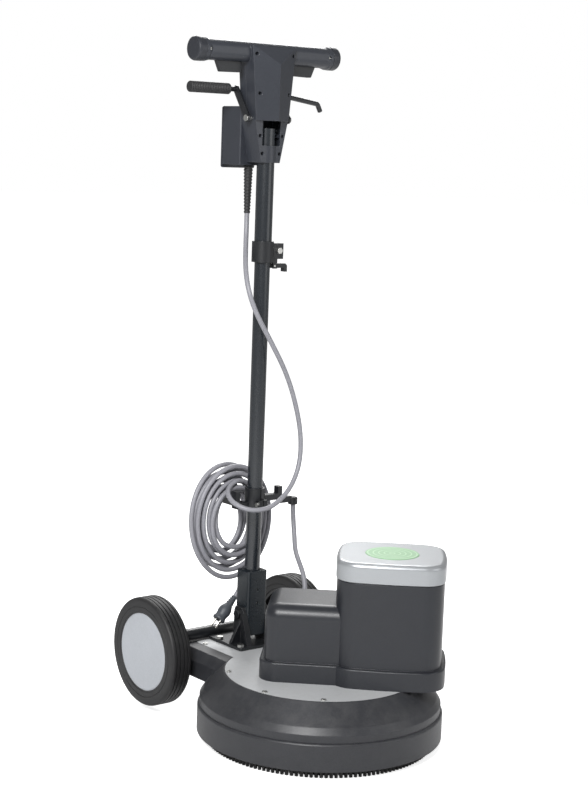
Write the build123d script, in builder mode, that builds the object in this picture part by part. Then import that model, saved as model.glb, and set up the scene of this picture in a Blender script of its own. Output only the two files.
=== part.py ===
from build123d import *
import os
from math import cos, pi, radians, sin, sqrt, tan

# Floor burnisher with a belt-driven disc brush, a tilting telescopic handle and two
# transport wheels.  +Z is up, -Y is the front, and the machine stands on its brush.
# All sizes are in millimetres.

os.makedirs("parts", exist_ok=True)

# --------------------------------------------------------------------------- sizes
FIT = 0.15          # running or seating clearance between turned pieces
CLEAR = 0.3         # clearance between pieces of different bodies

# brush and housing
BRUSH_R = 214.0
BRISTLE_LENGTH = 22.0
BRUSH_BLOCK_T = 18.0
SKIRT_R = 230.0
SKIRT_BOTTOM = 17.0
SEAM_Z = 68.0
CASING_R = 226.0
SHOULDER_R = 218.0
SHOULDER_Z = 94.0
HOUSING_WALL = 3.5
DECK_R = 180.0
DECK_TOP = 130.0
DECK_T = 4.0
DECK_REAR_HALF = 88.0
EAR_HALF = 131.0
EAR_BACK = 281.0
EAR_BOTTOM = 80.0

# wheels, axle and rear frame, as distances behind the brush axis
WHEEL_R = 106.0
WHEEL_W = 44.0
WHEEL_BACK = 309.0
WHEEL_LIFT = 12.5
WHEEL_INNER_X = 151.0
WHEEL_DISC_R = 75.7
AXLE_R = 8.0
CROSS_TUBE_R = 13.0
CROSS_TUBE_FORWARD = 10.0
CROSS_TUBE_GAP = 1.4
PLATE_T = 7.0

# drive
SPINDLE_R = 12.5
BEARING_R = 23.5
BEARING_T = 12.0
COVER_TURN = -43.0
MOTOR_OFFSET = 123.5
DRIVEN_R = 68.0
DRIVER_R = 36.0
BELT_T = 3.0
BELT_W = 16.0
BELT_Z = 139.0
MOTOR_PLATE_Z = 163.0
MOTOR_PLATE_T = 6.0
MOTOR_R = 74.0
MOTOR_H = 120.0
SHAFT_R = 9.0

# motor cover, in its own turned frame: U to the motor, V across
COVER_WALL = 3.0
FLANGE_TOP = 166.0
FLANGE_PROUD = 8.0
LOW_START = -104.0
LOW_HALF = 76.0
LOW_TOP = 272.0
TALL_HALF_U = 100.0
TALL_HALF_V = 93.0
TALL_TOP = 324.0
LID_BOTTOM = 326.0
LID_TOP = 362.0
LID_PROUD = 2.0
BADGE_R = 50.0

# handle
POLE_BACK = 221.0
PIVOT_Z = 192.0
SLEEVE_X = 46.0
SLEEVE_Y = 40.0
SLEEVE_BOTTOM = 150.0
SLEEVE_TOP = 278.0
LOWER_TUBE_R = 15.0
UPPER_TUBE_R = 16.75
TUBE_WALL = 1.45
LOWER_TUBE_TOP = 990.0
HEIGHT_DROP = 200.0
UPPER_TUBE_BOTTOM = 884.0
UPPER_TUBE_TOP = 1132.0
CLAMP_BOTTOM = 880.0
CLAMP_TOP = 920.0
CLAMP_R = 21.0
HANGER_BOTTOM = 404.0
HANGER_TOP = 441.0
HANGER_R = 19.5

# head
BAR_Z = 1271.0
BAR_BACK = 231.0
BAR_HALF = 150.0
BAR_HIGH = 38.0
BAR_DEEP = 40.0
CAP_R = 22.5
CAP_T = 18.0
COLUMN_TOP_HALF = 51.0
COLUMN_HALF = 38.6
COLUMN_FRONT = 204.0
COLUMN_RIDGE = 184.0
COLUMN_REAR = 250.0
COLUMN_STEP_Z = 1146.0
COLUMN_BOTTOM = 1068.0
COLUMN_BOTTOM_HALF = 22.0
COLUMN_LOW_FRONT = 206.0
HEAD_WALL = 3.0
BOX_BACK = 308.0
BOX_BOTTOM = 1062.0
BOX_TOP = 1172.0
BOX_HALF = 40.0
LEVER_PIVOT = (219.0, 1150.0)     # behind the brush axis, height
LEVER_END = (256.0, 1203.0)

# cords
CORD_D = 9.5

# The origin is on the floor at the middle of the machine's footprint, so the brush axis
# stands half a footprint from the front of the skirt.
BRUSH_Y = (SKIRT_R - WHEEL_BACK - WHEEL_R) / 2
POLE_Y = BRUSH_Y + POLE_BACK
WHEEL_Y = BRUSH_Y + WHEEL_BACK
WHEEL_Z = WHEEL_R + WHEEL_LIFT
# the cross tube lies over the axle and a little ahead of it
CROSS_TUBE_BACK = WHEEL_BACK - CROSS_TUBE_FORWARD
CROSS_TUBE_Z = WHEEL_Z + sqrt((CROSS_TUBE_R + AXLE_R + CROSS_TUBE_GAP) ** 2 - CROSS_TUBE_FORWARD ** 2)
BAR_Y = BRUSH_Y + BAR_BACK
DECK_BOTTOM = DECK_TOP - DECK_T
BLOCK_TOP = BRISTLE_LENGTH + BRUSH_BLOCK_T


# ------------------------------------------------------------------------- helpers
def write_piece(name, builder):
    """Label a finished piece and write it as one node."""
    builder.part.label = name
    export_step(builder.part, f"parts/{name}.step")


def turned(x, y, profile):
    """A piece turned about a vertical axis from a closed (radius, height) outline."""
    plane = Plane(origin=(x, y, 0), x_dir=(1, 0, 0), z_dir=(0, -1, 0))
    with BuildPart() as piece:
        with BuildSketch(plane):
            with BuildLine():
                Polyline(*profile, close=True)
            make_face()
        revolve(axis=Axis((x, y, 0), (0, 0, 1)))
    return piece


def ring(x, y, inner, outer, bottom, top):
    """A plain ring or sleeve about a vertical axis."""
    return turned(x, y, [(inner, bottom), (outer, bottom), (outer, top), (inner, top)])


def turned_x(y, z, profile):
    """A piece turned about a left-to-right axis from a closed (x, radius) outline."""
    plane = Plane(origin=(0, y, z), x_dir=(1, 0, 0), z_dir=(0, 0, 1))
    with BuildPart() as piece:
        with BuildSketch(plane):
            with BuildLine():
                Polyline(*profile, close=True)
            make_face()
        revolve(axis=Axis((0, y, z), (1, 0, 0)))
    return piece


def cover_plane(z):
    """A horizontal plane on the brush axis, turned so that its X runs to the motor."""
    turn = radians(COVER_TURN)
    return Plane(origin=(0, BRUSH_Y, z), x_dir=(cos(turn), sin(turn), 0), z_dir=(0, 0, 1))


def brush_plane(z):
    """A horizontal plane centred on the brush axis."""
    return Plane((0, BRUSH_Y, z))


MOTOR_CENTRE = cover_plane(0).from_local_coords((MOTOR_OFFSET, 0, 0))
MOTOR_X = MOTOR_CENTRE.X
MOTOR_Y = MOTOR_CENTRE.Y


def spot(plane, x, y):
    """The same plane, moved to a point of its own."""
    return Plane(origin=plane.from_local_coords((x, y, 0)), x_dir=plane.x_dir, z_dir=plane.z_dir)


def bolts(planes, shank_r, length, head_r, head_h):
    """Hexagon-headed bolts.  Each plane lies under a head and points out of it."""
    with BuildPart() as piece:
        for plane in planes:
            with BuildSketch(plane):
                RegularPolygon(head_r, 6)
            extrude(amount=head_h)
            with BuildSketch(plane):
                Circle(shank_r)
            extrude(amount=-length)
    return piece


def screws(planes, shank_r, length, head_r, head_h):
    """Round-headed screws with a cross slot."""
    with BuildPart() as piece:
        for plane in planes:
            with BuildSketch(plane):
                Circle(head_r)
            extrude(amount=head_h)
            with BuildSketch(plane.offset(head_h)):
                Rectangle(head_r * 1.3, head_r * 0.25)
                Rectangle(head_r * 0.25, head_r * 1.3)
            extrude(amount=-head_h * 0.6, mode=Mode.SUBTRACT)
            with BuildSketch(plane):
                Circle(shank_r)
            extrude(amount=-length)
    return piece


# ------------------------------------------------------------------- brush and drive
BRISTLE_INNER = 70.0
LUG_COUNT = 3
LUG_RING = 46.0
LUG_R = 7.0
DRIVE_PLATE_R = 60.0
DRIVE_PLATE_T = 6.0
HUB_R = 22.0
HUB_TOP = 62.0

write_piece("brush_bristles", ring(0, BRUSH_Y, BRISTLE_INNER, BRUSH_R, 0, BRISTLE_LENGTH))

with BuildPart() as brush_block:
    with BuildSketch(brush_plane(BRISTLE_LENGTH)):
        Circle(BRUSH_R - 4)
        Circle(SPINDLE_R + 4, mode=Mode.SUBTRACT)
        with PolarLocations(LUG_RING, LUG_COUNT):
            Circle(LUG_R + CLEAR, mode=Mode.SUBTRACT)
    extrude(amount=BRUSH_BLOCK_T)
    rim = brush_block.edges().filter_by(GeomType.CIRCLE).sort_by(SortBy.RADIUS)[-2:]
    chamfer(rim, 2)
write_piece("brush_block", brush_block)

with BuildPart() as drive_plate:
    with BuildSketch(brush_plane(BLOCK_TOP)):
        Circle(DRIVE_PLATE_R)
    extrude(amount=DRIVE_PLATE_T)
    with BuildSketch(brush_plane(BLOCK_TOP)):
        Circle(HUB_R)
    extrude(amount=HUB_TOP - BLOCK_TOP)
    with BuildSketch(brush_plane(BLOCK_TOP)):
        with PolarLocations(LUG_RING, LUG_COUNT):
            Circle(LUG_R)
    extrude(amount=-(BRUSH_BLOCK_T - 4))
    with BuildSketch(brush_plane(BLOCK_TOP)):
        Circle(SPINDLE_R + FIT)
    extrude(amount=HUB_TOP - BLOCK_TOP, mode=Mode.SUBTRACT)
write_piece("drive_plate", drive_plate)

SPINDLE_TOP = BELT_Z + BELT_W + 6
SPINDLE_SHOULDER_Z = HUB_TOP + 2
SPINDLE_PROFILE = [
    (0, BLOCK_TOP),
    (SPINDLE_R, BLOCK_TOP),
    (SPINDLE_R, HUB_TOP),
    (SPINDLE_R + 3, HUB_TOP),
    (SPINDLE_R + 3, SPINDLE_SHOULDER_Z),
    (SPINDLE_R, SPINDLE_SHOULDER_Z),
    (SPINDLE_R, SPINDLE_TOP),
    (0, SPINDLE_TOP),
]
write_piece("brush_spindle", turned(0, BRUSH_Y, SPINDLE_PROFILE))

HOUSING_BOTTOM = SPINDLE_SHOULDER_Z + CLEAR
LOWER_BEARING_Z = HOUSING_BOTTOM + 3
UPPER_BEARING_Z = DECK_BOTTOM - BEARING_T - 3
HOUSING_FLANGE_R = 62.0
HOUSING_FLANGE_T = 8.0
HOUSING_R = 32.0
HOUSING_BOLT_RING = 50.0
HOUSING_PROFILE = [
    (BEARING_R - 4, HOUSING_BOTTOM),
    (HOUSING_R, HOUSING_BOTTOM),
    (HOUSING_R, DECK_BOTTOM - HOUSING_FLANGE_T),
    (HOUSING_FLANGE_R, DECK_BOTTOM - HOUSING_FLANGE_T),
    (HOUSING_FLANGE_R, DECK_BOTTOM),
    (BEARING_R - 4, DECK_BOTTOM),
    (BEARING_R - 4, UPPER_BEARING_Z + BEARING_T),
    (BEARING_R, UPPER_BEARING_Z + BEARING_T),
    (BEARING_R, LOWER_BEARING_Z),
    (BEARING_R - 4, LOWER_BEARING_Z),
]
with BuildPart() as bearing_housing:
    add(turned(0, BRUSH_Y, HOUSING_PROFILE).part)
    with BuildSketch(brush_plane(DECK_BOTTOM)):
        with PolarLocations(HOUSING_BOLT_RING, 4, 45):
            Circle(3.2)
    extrude(amount=-HOUSING_FLANGE_T, mode=Mode.SUBTRACT)
write_piece("bearing_housing", bearing_housing)

def pulley(x, y, radius, bore, rim_t, web_t, hub_r):
    """A flanged poly-V pulley with a rim, a web and a hub, centred on the belt."""
    bottom = BELT_Z - 2
    top = BELT_Z + BELT_W + 2
    middle = (bottom + top) / 2
    flange_r = radius + BELT_T
    return turned(x, y, [
        (bore, bottom),
        (hub_r, bottom),
        (hub_r, middle - web_t / 2),
        (radius - rim_t, middle - web_t / 2),
        (radius - rim_t, bottom),
        (flange_r, bottom),
        (flange_r, bottom + 1.5),
        (radius, bottom + 1.5),
        (radius, top - 1.5),
        (flange_r, top - 1.5),
        (flange_r, top),
        (radius - rim_t, top),
        (radius - rim_t, middle + web_t / 2),
        (hub_r, middle + web_t / 2),
        (hub_r, top),
        (bore, top),
    ])


write_piece("driven_pulley", pulley(0, BRUSH_Y, DRIVEN_R, SPINDLE_R + FIT, 7, 6, HUB_R))
write_piece("motor_pulley", pulley(MOTOR_X, MOTOR_Y, DRIVER_R, SHAFT_R + FIT, 7, 8, 18))

# The belt wraps both pulleys: two arcs joined by the outer tangents.
BELT_LEAN = (DRIVEN_R - DRIVER_R) / MOTOR_OFFSET


def belt_outline(extra):
    """The closed outline of the belt, a given distance outside the pulley faces."""
    up = sqrt(1 - BELT_LEAN ** 2)
    big = DRIVEN_R + extra
    small = DRIVER_R + extra
    big_top = (big * BELT_LEAN, big * up)
    small_top = (MOTOR_OFFSET + small * BELT_LEAN, small * up)
    big_low = (big * BELT_LEAN, -big * up)
    small_low = (MOTOR_OFFSET + small * BELT_LEAN, -small * up)
    Line(big_top, small_top)
    ThreePointArc(small_top, (MOTOR_OFFSET + small, 0), small_low)
    Line(small_low, big_low)
    ThreePointArc(big_low, (-big, 0), big_top)


with BuildPart() as drive_belt:
    with BuildSketch(cover_plane(BELT_Z)):
        with BuildLine():
            belt_outline(BELT_T - CLEAR)
        make_face()
        with BuildLine():
            belt_outline(CLEAR)
        make_face(mode=Mode.SUBTRACT)
    extrude(amount=BELT_W)
write_piece("drive_belt", drive_belt)

# --------------------------------------------------------------------------- motor
SPACER_REACH = 68.0
SPACER_R = 8.0
SPACER_LOCATIONS = [
    (MOTOR_OFFSET + SPACER_REACH, SPACER_REACH),
    (MOTOR_OFFSET + SPACER_REACH, -SPACER_REACH),
    (MOTOR_OFFSET - SPACER_REACH, SPACER_REACH + 4),
    (MOTOR_OFFSET - SPACER_REACH, -SPACER_REACH - 4),
]
PLATE_TOP = MOTOR_PLATE_Z + MOTOR_PLATE_T

with BuildPart() as motor_plate:
    with BuildSketch(cover_plane(MOTOR_PLATE_Z)):
        with Locations((MOTOR_OFFSET, 0)):
            RectangleRounded(2 * (SPACER_REACH + 12), 2 * (SPACER_REACH + 14), 26)
            Circle(20, mode=Mode.SUBTRACT)
        with Locations(*SPACER_LOCATIONS):
            Circle(3.3, mode=Mode.SUBTRACT)
    extrude(amount=MOTOR_PLATE_T)
    # four turned spacers stand under the plate
    with BuildSketch(cover_plane(DECK_TOP)):
        with Locations(*SPACER_LOCATIONS):
            Circle(SPACER_R)
            Circle(3.3, mode=Mode.SUBTRACT)
    extrude(amount=MOTOR_PLATE_Z - DECK_TOP)
write_piece("motor_plate", motor_plate)

spacer_bolt_planes = [spot(cover_plane(PLATE_TOP), u, v) for u, v in SPACER_LOCATIONS]

MOTOR_TOP = PLATE_TOP + MOTOR_H
CAN_WALL = 3.0
END_BELL_H = 16.0
MOTOR_BEARING_R = 18.0
with BuildPart() as motor_can:
    add(turned(MOTOR_X, MOTOR_Y, [
        (MOTOR_BEARING_R, PLATE_TOP), (MOTOR_R, PLATE_TOP), (MOTOR_R, MOTOR_TOP - END_BELL_H),
        (MOTOR_R - CAN_WALL, MOTOR_TOP - END_BELL_H), (MOTOR_R - CAN_WALL, PLATE_TOP + CAN_WALL),
        (MOTOR_BEARING_R + 4, PLATE_TOP + CAN_WALL), (MOTOR_BEARING_R + 4, PLATE_TOP + BEARING_T),
        (MOTOR_BEARING_R, PLATE_TOP + BEARING_T),
    ]).part)
    # the end bell closes the can and holds the upper bearing
    add(turned(MOTOR_X, MOTOR_Y, [
        (MOTOR_BEARING_R, MOTOR_TOP - END_BELL_H + CLEAR), (MOTOR_R, MOTOR_TOP - END_BELL_H + CLEAR),
        (MOTOR_R, MOTOR_TOP - 6), (MOTOR_R - 8, MOTOR_TOP), (MOTOR_BEARING_R, MOTOR_TOP),
    ]).part)
write_piece("motor_can", motor_can)

STATOR_R = MOTOR_R - CAN_WALL - FIT
ROTOR_R = 42.0
STATOR_FOOT = 24.0
STATOR_HEADROOM = 34.0
STATOR_BOTTOM = PLATE_TOP + STATOR_FOOT
STATOR_H = MOTOR_H - STATOR_FOOT - STATOR_HEADROOM
with BuildPart() as motor_stator:
    with BuildSketch(Plane((MOTOR_X, MOTOR_Y, STATOR_BOTTOM))):
        Circle(STATOR_R)
        Circle(ROTOR_R + 0.6, mode=Mode.SUBTRACT)
        with PolarLocations(ROTOR_R + 9, 24):
            Rectangle(14, 4.5, mode=Mode.SUBTRACT)
    extrude(amount=STATOR_H)
    with BuildSketch(Plane((MOTOR_X, MOTOR_Y, STATOR_BOTTOM + STATOR_H))):
        Circle(STATOR_R - 8)
        Circle(ROTOR_R + 4, mode=Mode.SUBTRACT)
    extrude(amount=9)
write_piece("motor_stator", motor_stator)

SHAFT_BOTTOM = BELT_Z - 4
SHAFT_TOP = MOTOR_TOP + 20
with BuildPart() as motor_rotor:
    add(ring(MOTOR_X, MOTOR_Y, 0, SHAFT_R, SHAFT_BOTTOM, SHAFT_TOP).part)
    add(ring(MOTOR_X, MOTOR_Y, SHAFT_R - 1, ROTOR_R, STATOR_BOTTOM, STATOR_BOTTOM + STATOR_H).part)
write_piece("motor_rotor", motor_rotor)

MOTOR_BEARING_ZS = (PLATE_TOP, MOTOR_TOP - END_BELL_H + CLEAR)
with BuildPart() as bearings:
    for bearing_z in (LOWER_BEARING_Z, UPPER_BEARING_Z):
        add(ring(0, BRUSH_Y, SPINDLE_R + FIT, BEARING_R - FIT / 3, bearing_z, bearing_z + BEARING_T).part)
    spacer_z = (LOWER_BEARING_Z + BEARING_T + FIT, UPPER_BEARING_Z - FIT)
    add(ring(0, BRUSH_Y, SPINDLE_R + FIT, SPINDLE_R + 4, *spacer_z).part)
    for bearing_z in MOTOR_BEARING_ZS:
        motor_bearing = (SHAFT_R + FIT, MOTOR_BEARING_R - FIT / 3, bearing_z, bearing_z + BEARING_T - 1)
        add(ring(MOTOR_X, MOTOR_Y, *motor_bearing).part)
write_piece("bearings", bearings)

FAN_R = 64.0
FAN_BOTTOM = MOTOR_TOP + 2
with BuildPart() as motor_fan:
    fan_plane = Plane((MOTOR_X, MOTOR_Y, FAN_BOTTOM))
    with BuildSketch(fan_plane):
        Circle(FAN_R)
    extrude(amount=2)
    with BuildSketch(fan_plane):
        Circle(SHAFT_R + 6)
    extrude(amount=16)
    with BuildSketch(fan_plane):
        with PolarLocations(FAN_R - 16, 9):
            Rectangle(28, 2.5)
    extrude(amount=16)
    with BuildSketch(fan_plane):
        Circle(SHAFT_R + FIT)
    extrude(amount=16, mode=Mode.SUBTRACT)
write_piece("motor_fan", motor_fan)

CAPACITOR_R = 21.0
CAPACITOR_SPOTS = [(-52, 30), (-52, -30)]
CAPACITOR_H = 78.0
SHELF_U = (-88.0, 36.0)
SHELF_HALF = 59.0
SHELF_T = 3.0
SHELF_FEET = [(SHELF_U[0] + 10, 48), (SHELF_U[0] + 10, -48)]
TERMINAL_U = 10.0
with BuildPart() as electrics:
    # shelf on two feet
    shelf_z = PLATE_TOP - SHELF_T
    with BuildSketch(cover_plane(shelf_z)):
        with Locations(((SHELF_U[0] + SHELF_U[1]) / 2, 0)):
            RectangleRounded(SHELF_U[1] - SHELF_U[0], 2 * SHELF_HALF, 10)
    extrude(amount=SHELF_T)
    with BuildSketch(cover_plane(DECK_TOP)):
        with Locations(*SHELF_FEET):
            Circle(5)
    extrude(amount=shelf_z - DECK_TOP)
    # two capacitors and a terminal block stand on it
    with BuildSketch(cover_plane(PLATE_TOP + FIT)):
        with Locations(*CAPACITOR_SPOTS):
            Circle(CAPACITOR_R)
    extrude(amount=CAPACITOR_H)
    with BuildSketch(cover_plane(PLATE_TOP + FIT)):
        with Locations((TERMINAL_U, 0)):
            Rectangle(22, 60)
            with GridLocations(0, 12, 1, 5):
                Circle(2.4, mode=Mode.SUBTRACT)
    extrude(amount=18)
write_piece("electrics", electrics)

# --------------------------------------------------------------- skirt, casing, deck
SKIRT_WALL = 6.0
SKIRT_EDGE_R = 5.0
SKIRT_FLANGE = 3.0
skirt_plane = Plane(origin=(0, BRUSH_Y, 0), x_dir=(1, 0, 0), z_dir=(0, -1, 0))
with BuildPart() as lower_skirt:
    with BuildSketch(skirt_plane) as skirt_section:
        with BuildLine():
            inner_r = SKIRT_R - SKIRT_WALL
            flange_r = BRUSH_R - 6
            Polyline(
                (inner_r, SKIRT_BOTTOM), (SKIRT_R, SKIRT_BOTTOM), (SKIRT_R, SEAM_Z), (flange_r, SEAM_Z),
                (flange_r, SEAM_Z - SKIRT_FLANGE), (inner_r, SEAM_Z - SKIRT_FLANGE), close=True,
            )
        make_face()
        outer_corners = skirt_section.vertices().group_by(Axis.X)[-1]
        fillet(outer_corners.sort_by(Axis.Z)[0], SKIRT_EDGE_R)
        fillet(skirt_section.vertices().group_by(Axis.X)[-1].sort_by(Axis.Z)[-1], 1.2)
    revolve(axis=Axis((0, BRUSH_Y, 0), (0, 0, 1)))
write_piece("lower_skirt", lower_skirt)


def casing_body(inset):
    """The casing's outer form, or its hollow when inset by the wall."""
    slope = inset * 1.35
    with BuildPart(mode=Mode.PRIVATE) as body:
        with BuildSketch(skirt_plane):
            with BuildLine():
                Polyline(
                    (0, SEAM_Z), (CASING_R - inset, SEAM_Z), (CASING_R - inset, SEAM_Z + 14),
                    (SHOULDER_R - inset, SHOULDER_Z - inset / 3),
                    (DECK_R + 2 - inset, DECK_TOP - slope / 1.35), (0, DECK_TOP - slope / 1.35), close=True,
                )
            make_face()
        revolve(axis=Axis((0, BRUSH_Y, 0), (0, 0, 1)))
        # the two rear ears, one block with sloping sides
        ear_top = DECK_TOP - inset
        with BuildSketch(Plane(origin=(0, BRUSH_Y + EAR_BACK - inset, 0), x_dir=(-1, 0, 0), z_dir=(0, 1, 0))):
            with BuildLine():
                half = EAR_HALF - inset
                shoulder = EAR_HALF - 15 - inset
                Polyline(
                    (-half, EAR_BOTTOM), (-half, ear_top - 18), (-shoulder, ear_top),
                    (shoulder, ear_top), (half, ear_top - 18), (half, EAR_BOTTOM), close=True,
                )
            make_face()
        extrude(amount=-(EAR_BACK - inset - 120))
    return body.part


def deck_outline(extra, rear):
    """The deck's outline: a disc with a straight-sided rear extension."""
    Circle(DECK_R + extra)
    with Locations((0, rear / 2)):
        Rectangle(2 * (DECK_REAR_HALF + extra), rear)


LEDGE = 12.0
LEDGE_T = 3.5
DECK_SCREW_R = DECK_R - LEDGE / 2
DECK_SCREW_ANGLES = (12, 150, 195, 232, 345)
DECK_SCREW_SPOTS = [
    (DECK_SCREW_R * cos(radians(a)), DECK_SCREW_R * sin(radians(a))) for a in DECK_SCREW_ANGLES
] + [(side * (DECK_REAR_HALF - LEDGE / 2), EAR_BACK - 24) for side in (-1, 1)]
SCREW_R = 2.5
with BuildPart() as upper_casing:
    add(casing_body(0))
    add(casing_body(HOUSING_WALL), mode=Mode.SUBTRACT)
    with BuildSketch(brush_plane(DECK_BOTTOM - LEDGE_T)):
        deck_outline(3, EAR_BACK)
        deck_outline(-LEDGE, EAR_BACK + 1)
    extrude(amount=LEDGE_T + 2)
    with BuildSketch(brush_plane(DECK_BOTTOM - LEDGE_T - 1)):
        deck_outline(-LEDGE, EAR_BACK - LEDGE)
    extrude(amount=LEDGE_T + 20, mode=Mode.SUBTRACT)
    with BuildSketch(brush_plane(DECK_BOTTOM)):
        deck_outline(CLEAR, EAR_BACK + 5)
    extrude(amount=DECK_T + 5, mode=Mode.SUBTRACT)
    with BuildSketch(brush_plane(DECK_BOTTOM)):
        with Locations(*DECK_SCREW_SPOTS):
            Circle(SCREW_R + FIT)
    extrude(amount=-LEDGE_T, mode=Mode.SUBTRACT)
write_piece("upper_casing", upper_casing)

PLATE_SCREW_SPOTS = [(side * 48, back) for side in (-1, 1) for back in (188, 255)]
with BuildPart() as deck_plate:
    with BuildSketch(brush_plane(DECK_BOTTOM)):
        deck_outline(0, EAR_BACK)
        Circle(SPINDLE_R + 8, mode=Mode.SUBTRACT)
        with Locations(*DECK_SCREW_SPOTS):
            Circle(SCREW_R + FIT, mode=Mode.SUBTRACT)
        with PolarLocations(HOUSING_BOLT_RING, 4, 45):
            Circle(3.2, mode=Mode.SUBTRACT)
        with Locations(*PLATE_SCREW_SPOTS):
            Circle(4.2, mode=Mode.SUBTRACT)
    extrude(amount=DECK_T)
    corners = deck_plate.edges().filter_by(Axis.Z).group_by(Axis.Y)[-1]
    fillet(corners, 8)
write_piece("deck_plate", deck_plate)

deck_screw_planes = [spot(brush_plane(DECK_TOP), x, y) for x, y in DECK_SCREW_SPOTS]
housing_bolt_planes = [
    spot(brush_plane(DECK_TOP), HOUSING_BOLT_RING * cos(a), HOUSING_BOLT_RING * sin(a))
    for a in (pi / 4, 3 * pi / 4, 5 * pi / 4, 7 * pi / 4)
]

# --------------------------------------------------------------------- motor cover


def tall_outline(extra):
    """The motor tower's outline: a square with bowed sides and round corners."""
    u0 = MOTOR_OFFSET
    reach_u = TALL_HALF_U + extra
    reach_v = TALL_HALF_V + extra
    bow = 7.0
    corner_u = reach_u - bow
    corner_v = reach_v - bow
    with BuildSketch(mode=Mode.PRIVATE) as outline:
        with BuildLine():
            ThreePointArc((u0 - corner_u, -corner_v), (u0, -reach_v), (u0 + corner_u, -corner_v))
            ThreePointArc((u0 + corner_u, -corner_v), (u0 + reach_u, 0), (u0 + corner_u, corner_v))
            ThreePointArc((u0 + corner_u, corner_v), (u0, reach_v), (u0 - corner_u, corner_v))
            ThreePointArc((u0 - corner_u, corner_v), (u0 - reach_u, 0), (u0 - corner_u, -corner_v))
        make_face()
        fillet(outline.vertices(), 40 + extra)
    return outline.sketch


def low_outline(extra):
    """The low cover's outline, which runs into the motor tower."""
    length = MOTOR_OFFSET - LOW_START + extra
    with BuildSketch(mode=Mode.PRIVATE) as outline:
        with Locations((LOW_START - extra + length / 2, 0)):
            Rectangle(length, 2 * (LOW_HALF + extra))
        fillet(outline.vertices().group_by(Axis.X)[0], 26 + extra)
    return outline.sketch


def cover_form(inset):
    """The cover's outer form, or its hollow when inset by the wall."""
    with BuildPart(mode=Mode.PRIVATE) as low:
        with BuildSketch(cover_plane(DECK_TOP)):
            add(low_outline(-inset))
        extrude(amount=LOW_TOP - inset - DECK_TOP)
        top_edges = low.faces().sort_by(Axis.Z)[-1].edges()
        fillet(top_edges, 24 - inset)
    with BuildPart(mode=Mode.PRIVATE) as form:
        with BuildSketch(cover_plane(DECK_TOP)):
            add(low_outline(FLANGE_PROUD - inset))
            add(tall_outline(FLANGE_PROUD - inset))
        extrude(amount=FLANGE_TOP - inset - DECK_TOP)
        fillet(form.faces().sort_by(Axis.Z)[-1].edges(), 3)
        add(low.part)
        with BuildSketch(cover_plane(DECK_TOP)):
            add(tall_outline(-inset))
        extrude(amount=TALL_TOP - DECK_TOP + (1 if inset else 0))
    return form.part


GLAND_U = -42.0
GLAND_Z = 214.0
GLAND_R = 9.0
CORD_HOLE_R = CORD_D / 2 + 0.6
gland_frame = cover_plane(GLAND_Z)
gland_origin = gland_frame.from_local_coords((GLAND_U, LOW_HALF, 0))
gland_out = (gland_frame.y_dir + Vector(0, 0, 1)).normalized()
GLAND_PLANE = Plane(origin=gland_origin, x_dir=gland_frame.x_dir, z_dir=gland_out)

with BuildPart() as motor_cover:
    add(cover_form(0))
    add(cover_form(COVER_WALL), mode=Mode.SUBTRACT)
    with BuildSketch(GLAND_PLANE.offset(-14)):
        Circle(GLAND_R - 2 + FIT)
    extrude(amount=28, mode=Mode.SUBTRACT)
write_piece("motor_cover", motor_cover)

LID_EDGE = 9.0
with BuildPart() as motor_lid:
    with BuildSketch(cover_plane(LID_BOTTOM)):
        add(tall_outline(LID_PROUD))
    extrude(amount=LID_TOP - LID_BOTTOM)
    fillet(motor_lid.faces().sort_by(Axis.Z)[-1].edges(), LID_EDGE)
    with BuildSketch(cover_plane(LID_BOTTOM)):
        add(tall_outline(LID_PROUD - COVER_WALL))
    extrude(amount=LID_TOP - LID_BOTTOM - COVER_WALL, mode=Mode.SUBTRACT)
    # a skirt inside the lid locates it in the mouth of the tower
    with BuildSketch(cover_plane(LID_BOTTOM - 8)):
        add(tall_outline(-COVER_WALL - CLEAR))
        add(tall_outline(-COVER_WALL - CLEAR - 2.5), mode=Mode.SUBTRACT)
    extrude(amount=LID_TOP - LID_BOTTOM + 8 - COVER_WALL)
    # a ledge closes the step between the two walls
    with BuildSketch(cover_plane(LID_BOTTOM)):
        add(tall_outline(LID_PROUD))
        add(tall_outline(-COVER_WALL - CLEAR - 2), mode=Mode.SUBTRACT)
    extrude(amount=2)
    with BuildSketch(cover_plane(LID_TOP - 0.8)):
        with Locations((MOTOR_OFFSET, 0)):
            Circle(BADGE_R + FIT)
    extrude(amount=2, mode=Mode.SUBTRACT)
write_piece("motor_lid", motor_lid)

with BuildPart() as lid_badge:
    with BuildSketch(cover_plane(LID_TOP - 0.8)):
        with Locations((MOTOR_OFFSET, 0)):
            Circle(BADGE_R)
    extrude(amount=1.6)
    chamfer(lid_badge.faces().sort_by(Axis.Z)[-1].edges(), 0.4)
write_piece("lid_badge", lid_badge)

with BuildPart() as motor_cord_gland:
    with BuildSketch(GLAND_PLANE.offset(-8)):
        Circle(GLAND_R - 2)
    extrude(amount=16)
    with BuildSketch(GLAND_PLANE.offset(8)):
        Circle(GLAND_R - 2)
    extrude(amount=3)
    with BuildSketch(GLAND_PLANE.offset(11)):
        RegularPolygon(GLAND_R + 1, 6)
    extrude(amount=6)
    with BuildSketch(GLAND_PLANE.offset(17)):
        Circle(GLAND_R - 1)
    extrude(amount=11, taper=8)
    with BuildSketch(GLAND_PLANE.offset(-8)):
        Circle(CORD_HOLE_R)
    extrude(amount=36, mode=Mode.SUBTRACT)
write_piece("motor_cord_gland", motor_cord_gland)

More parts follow.
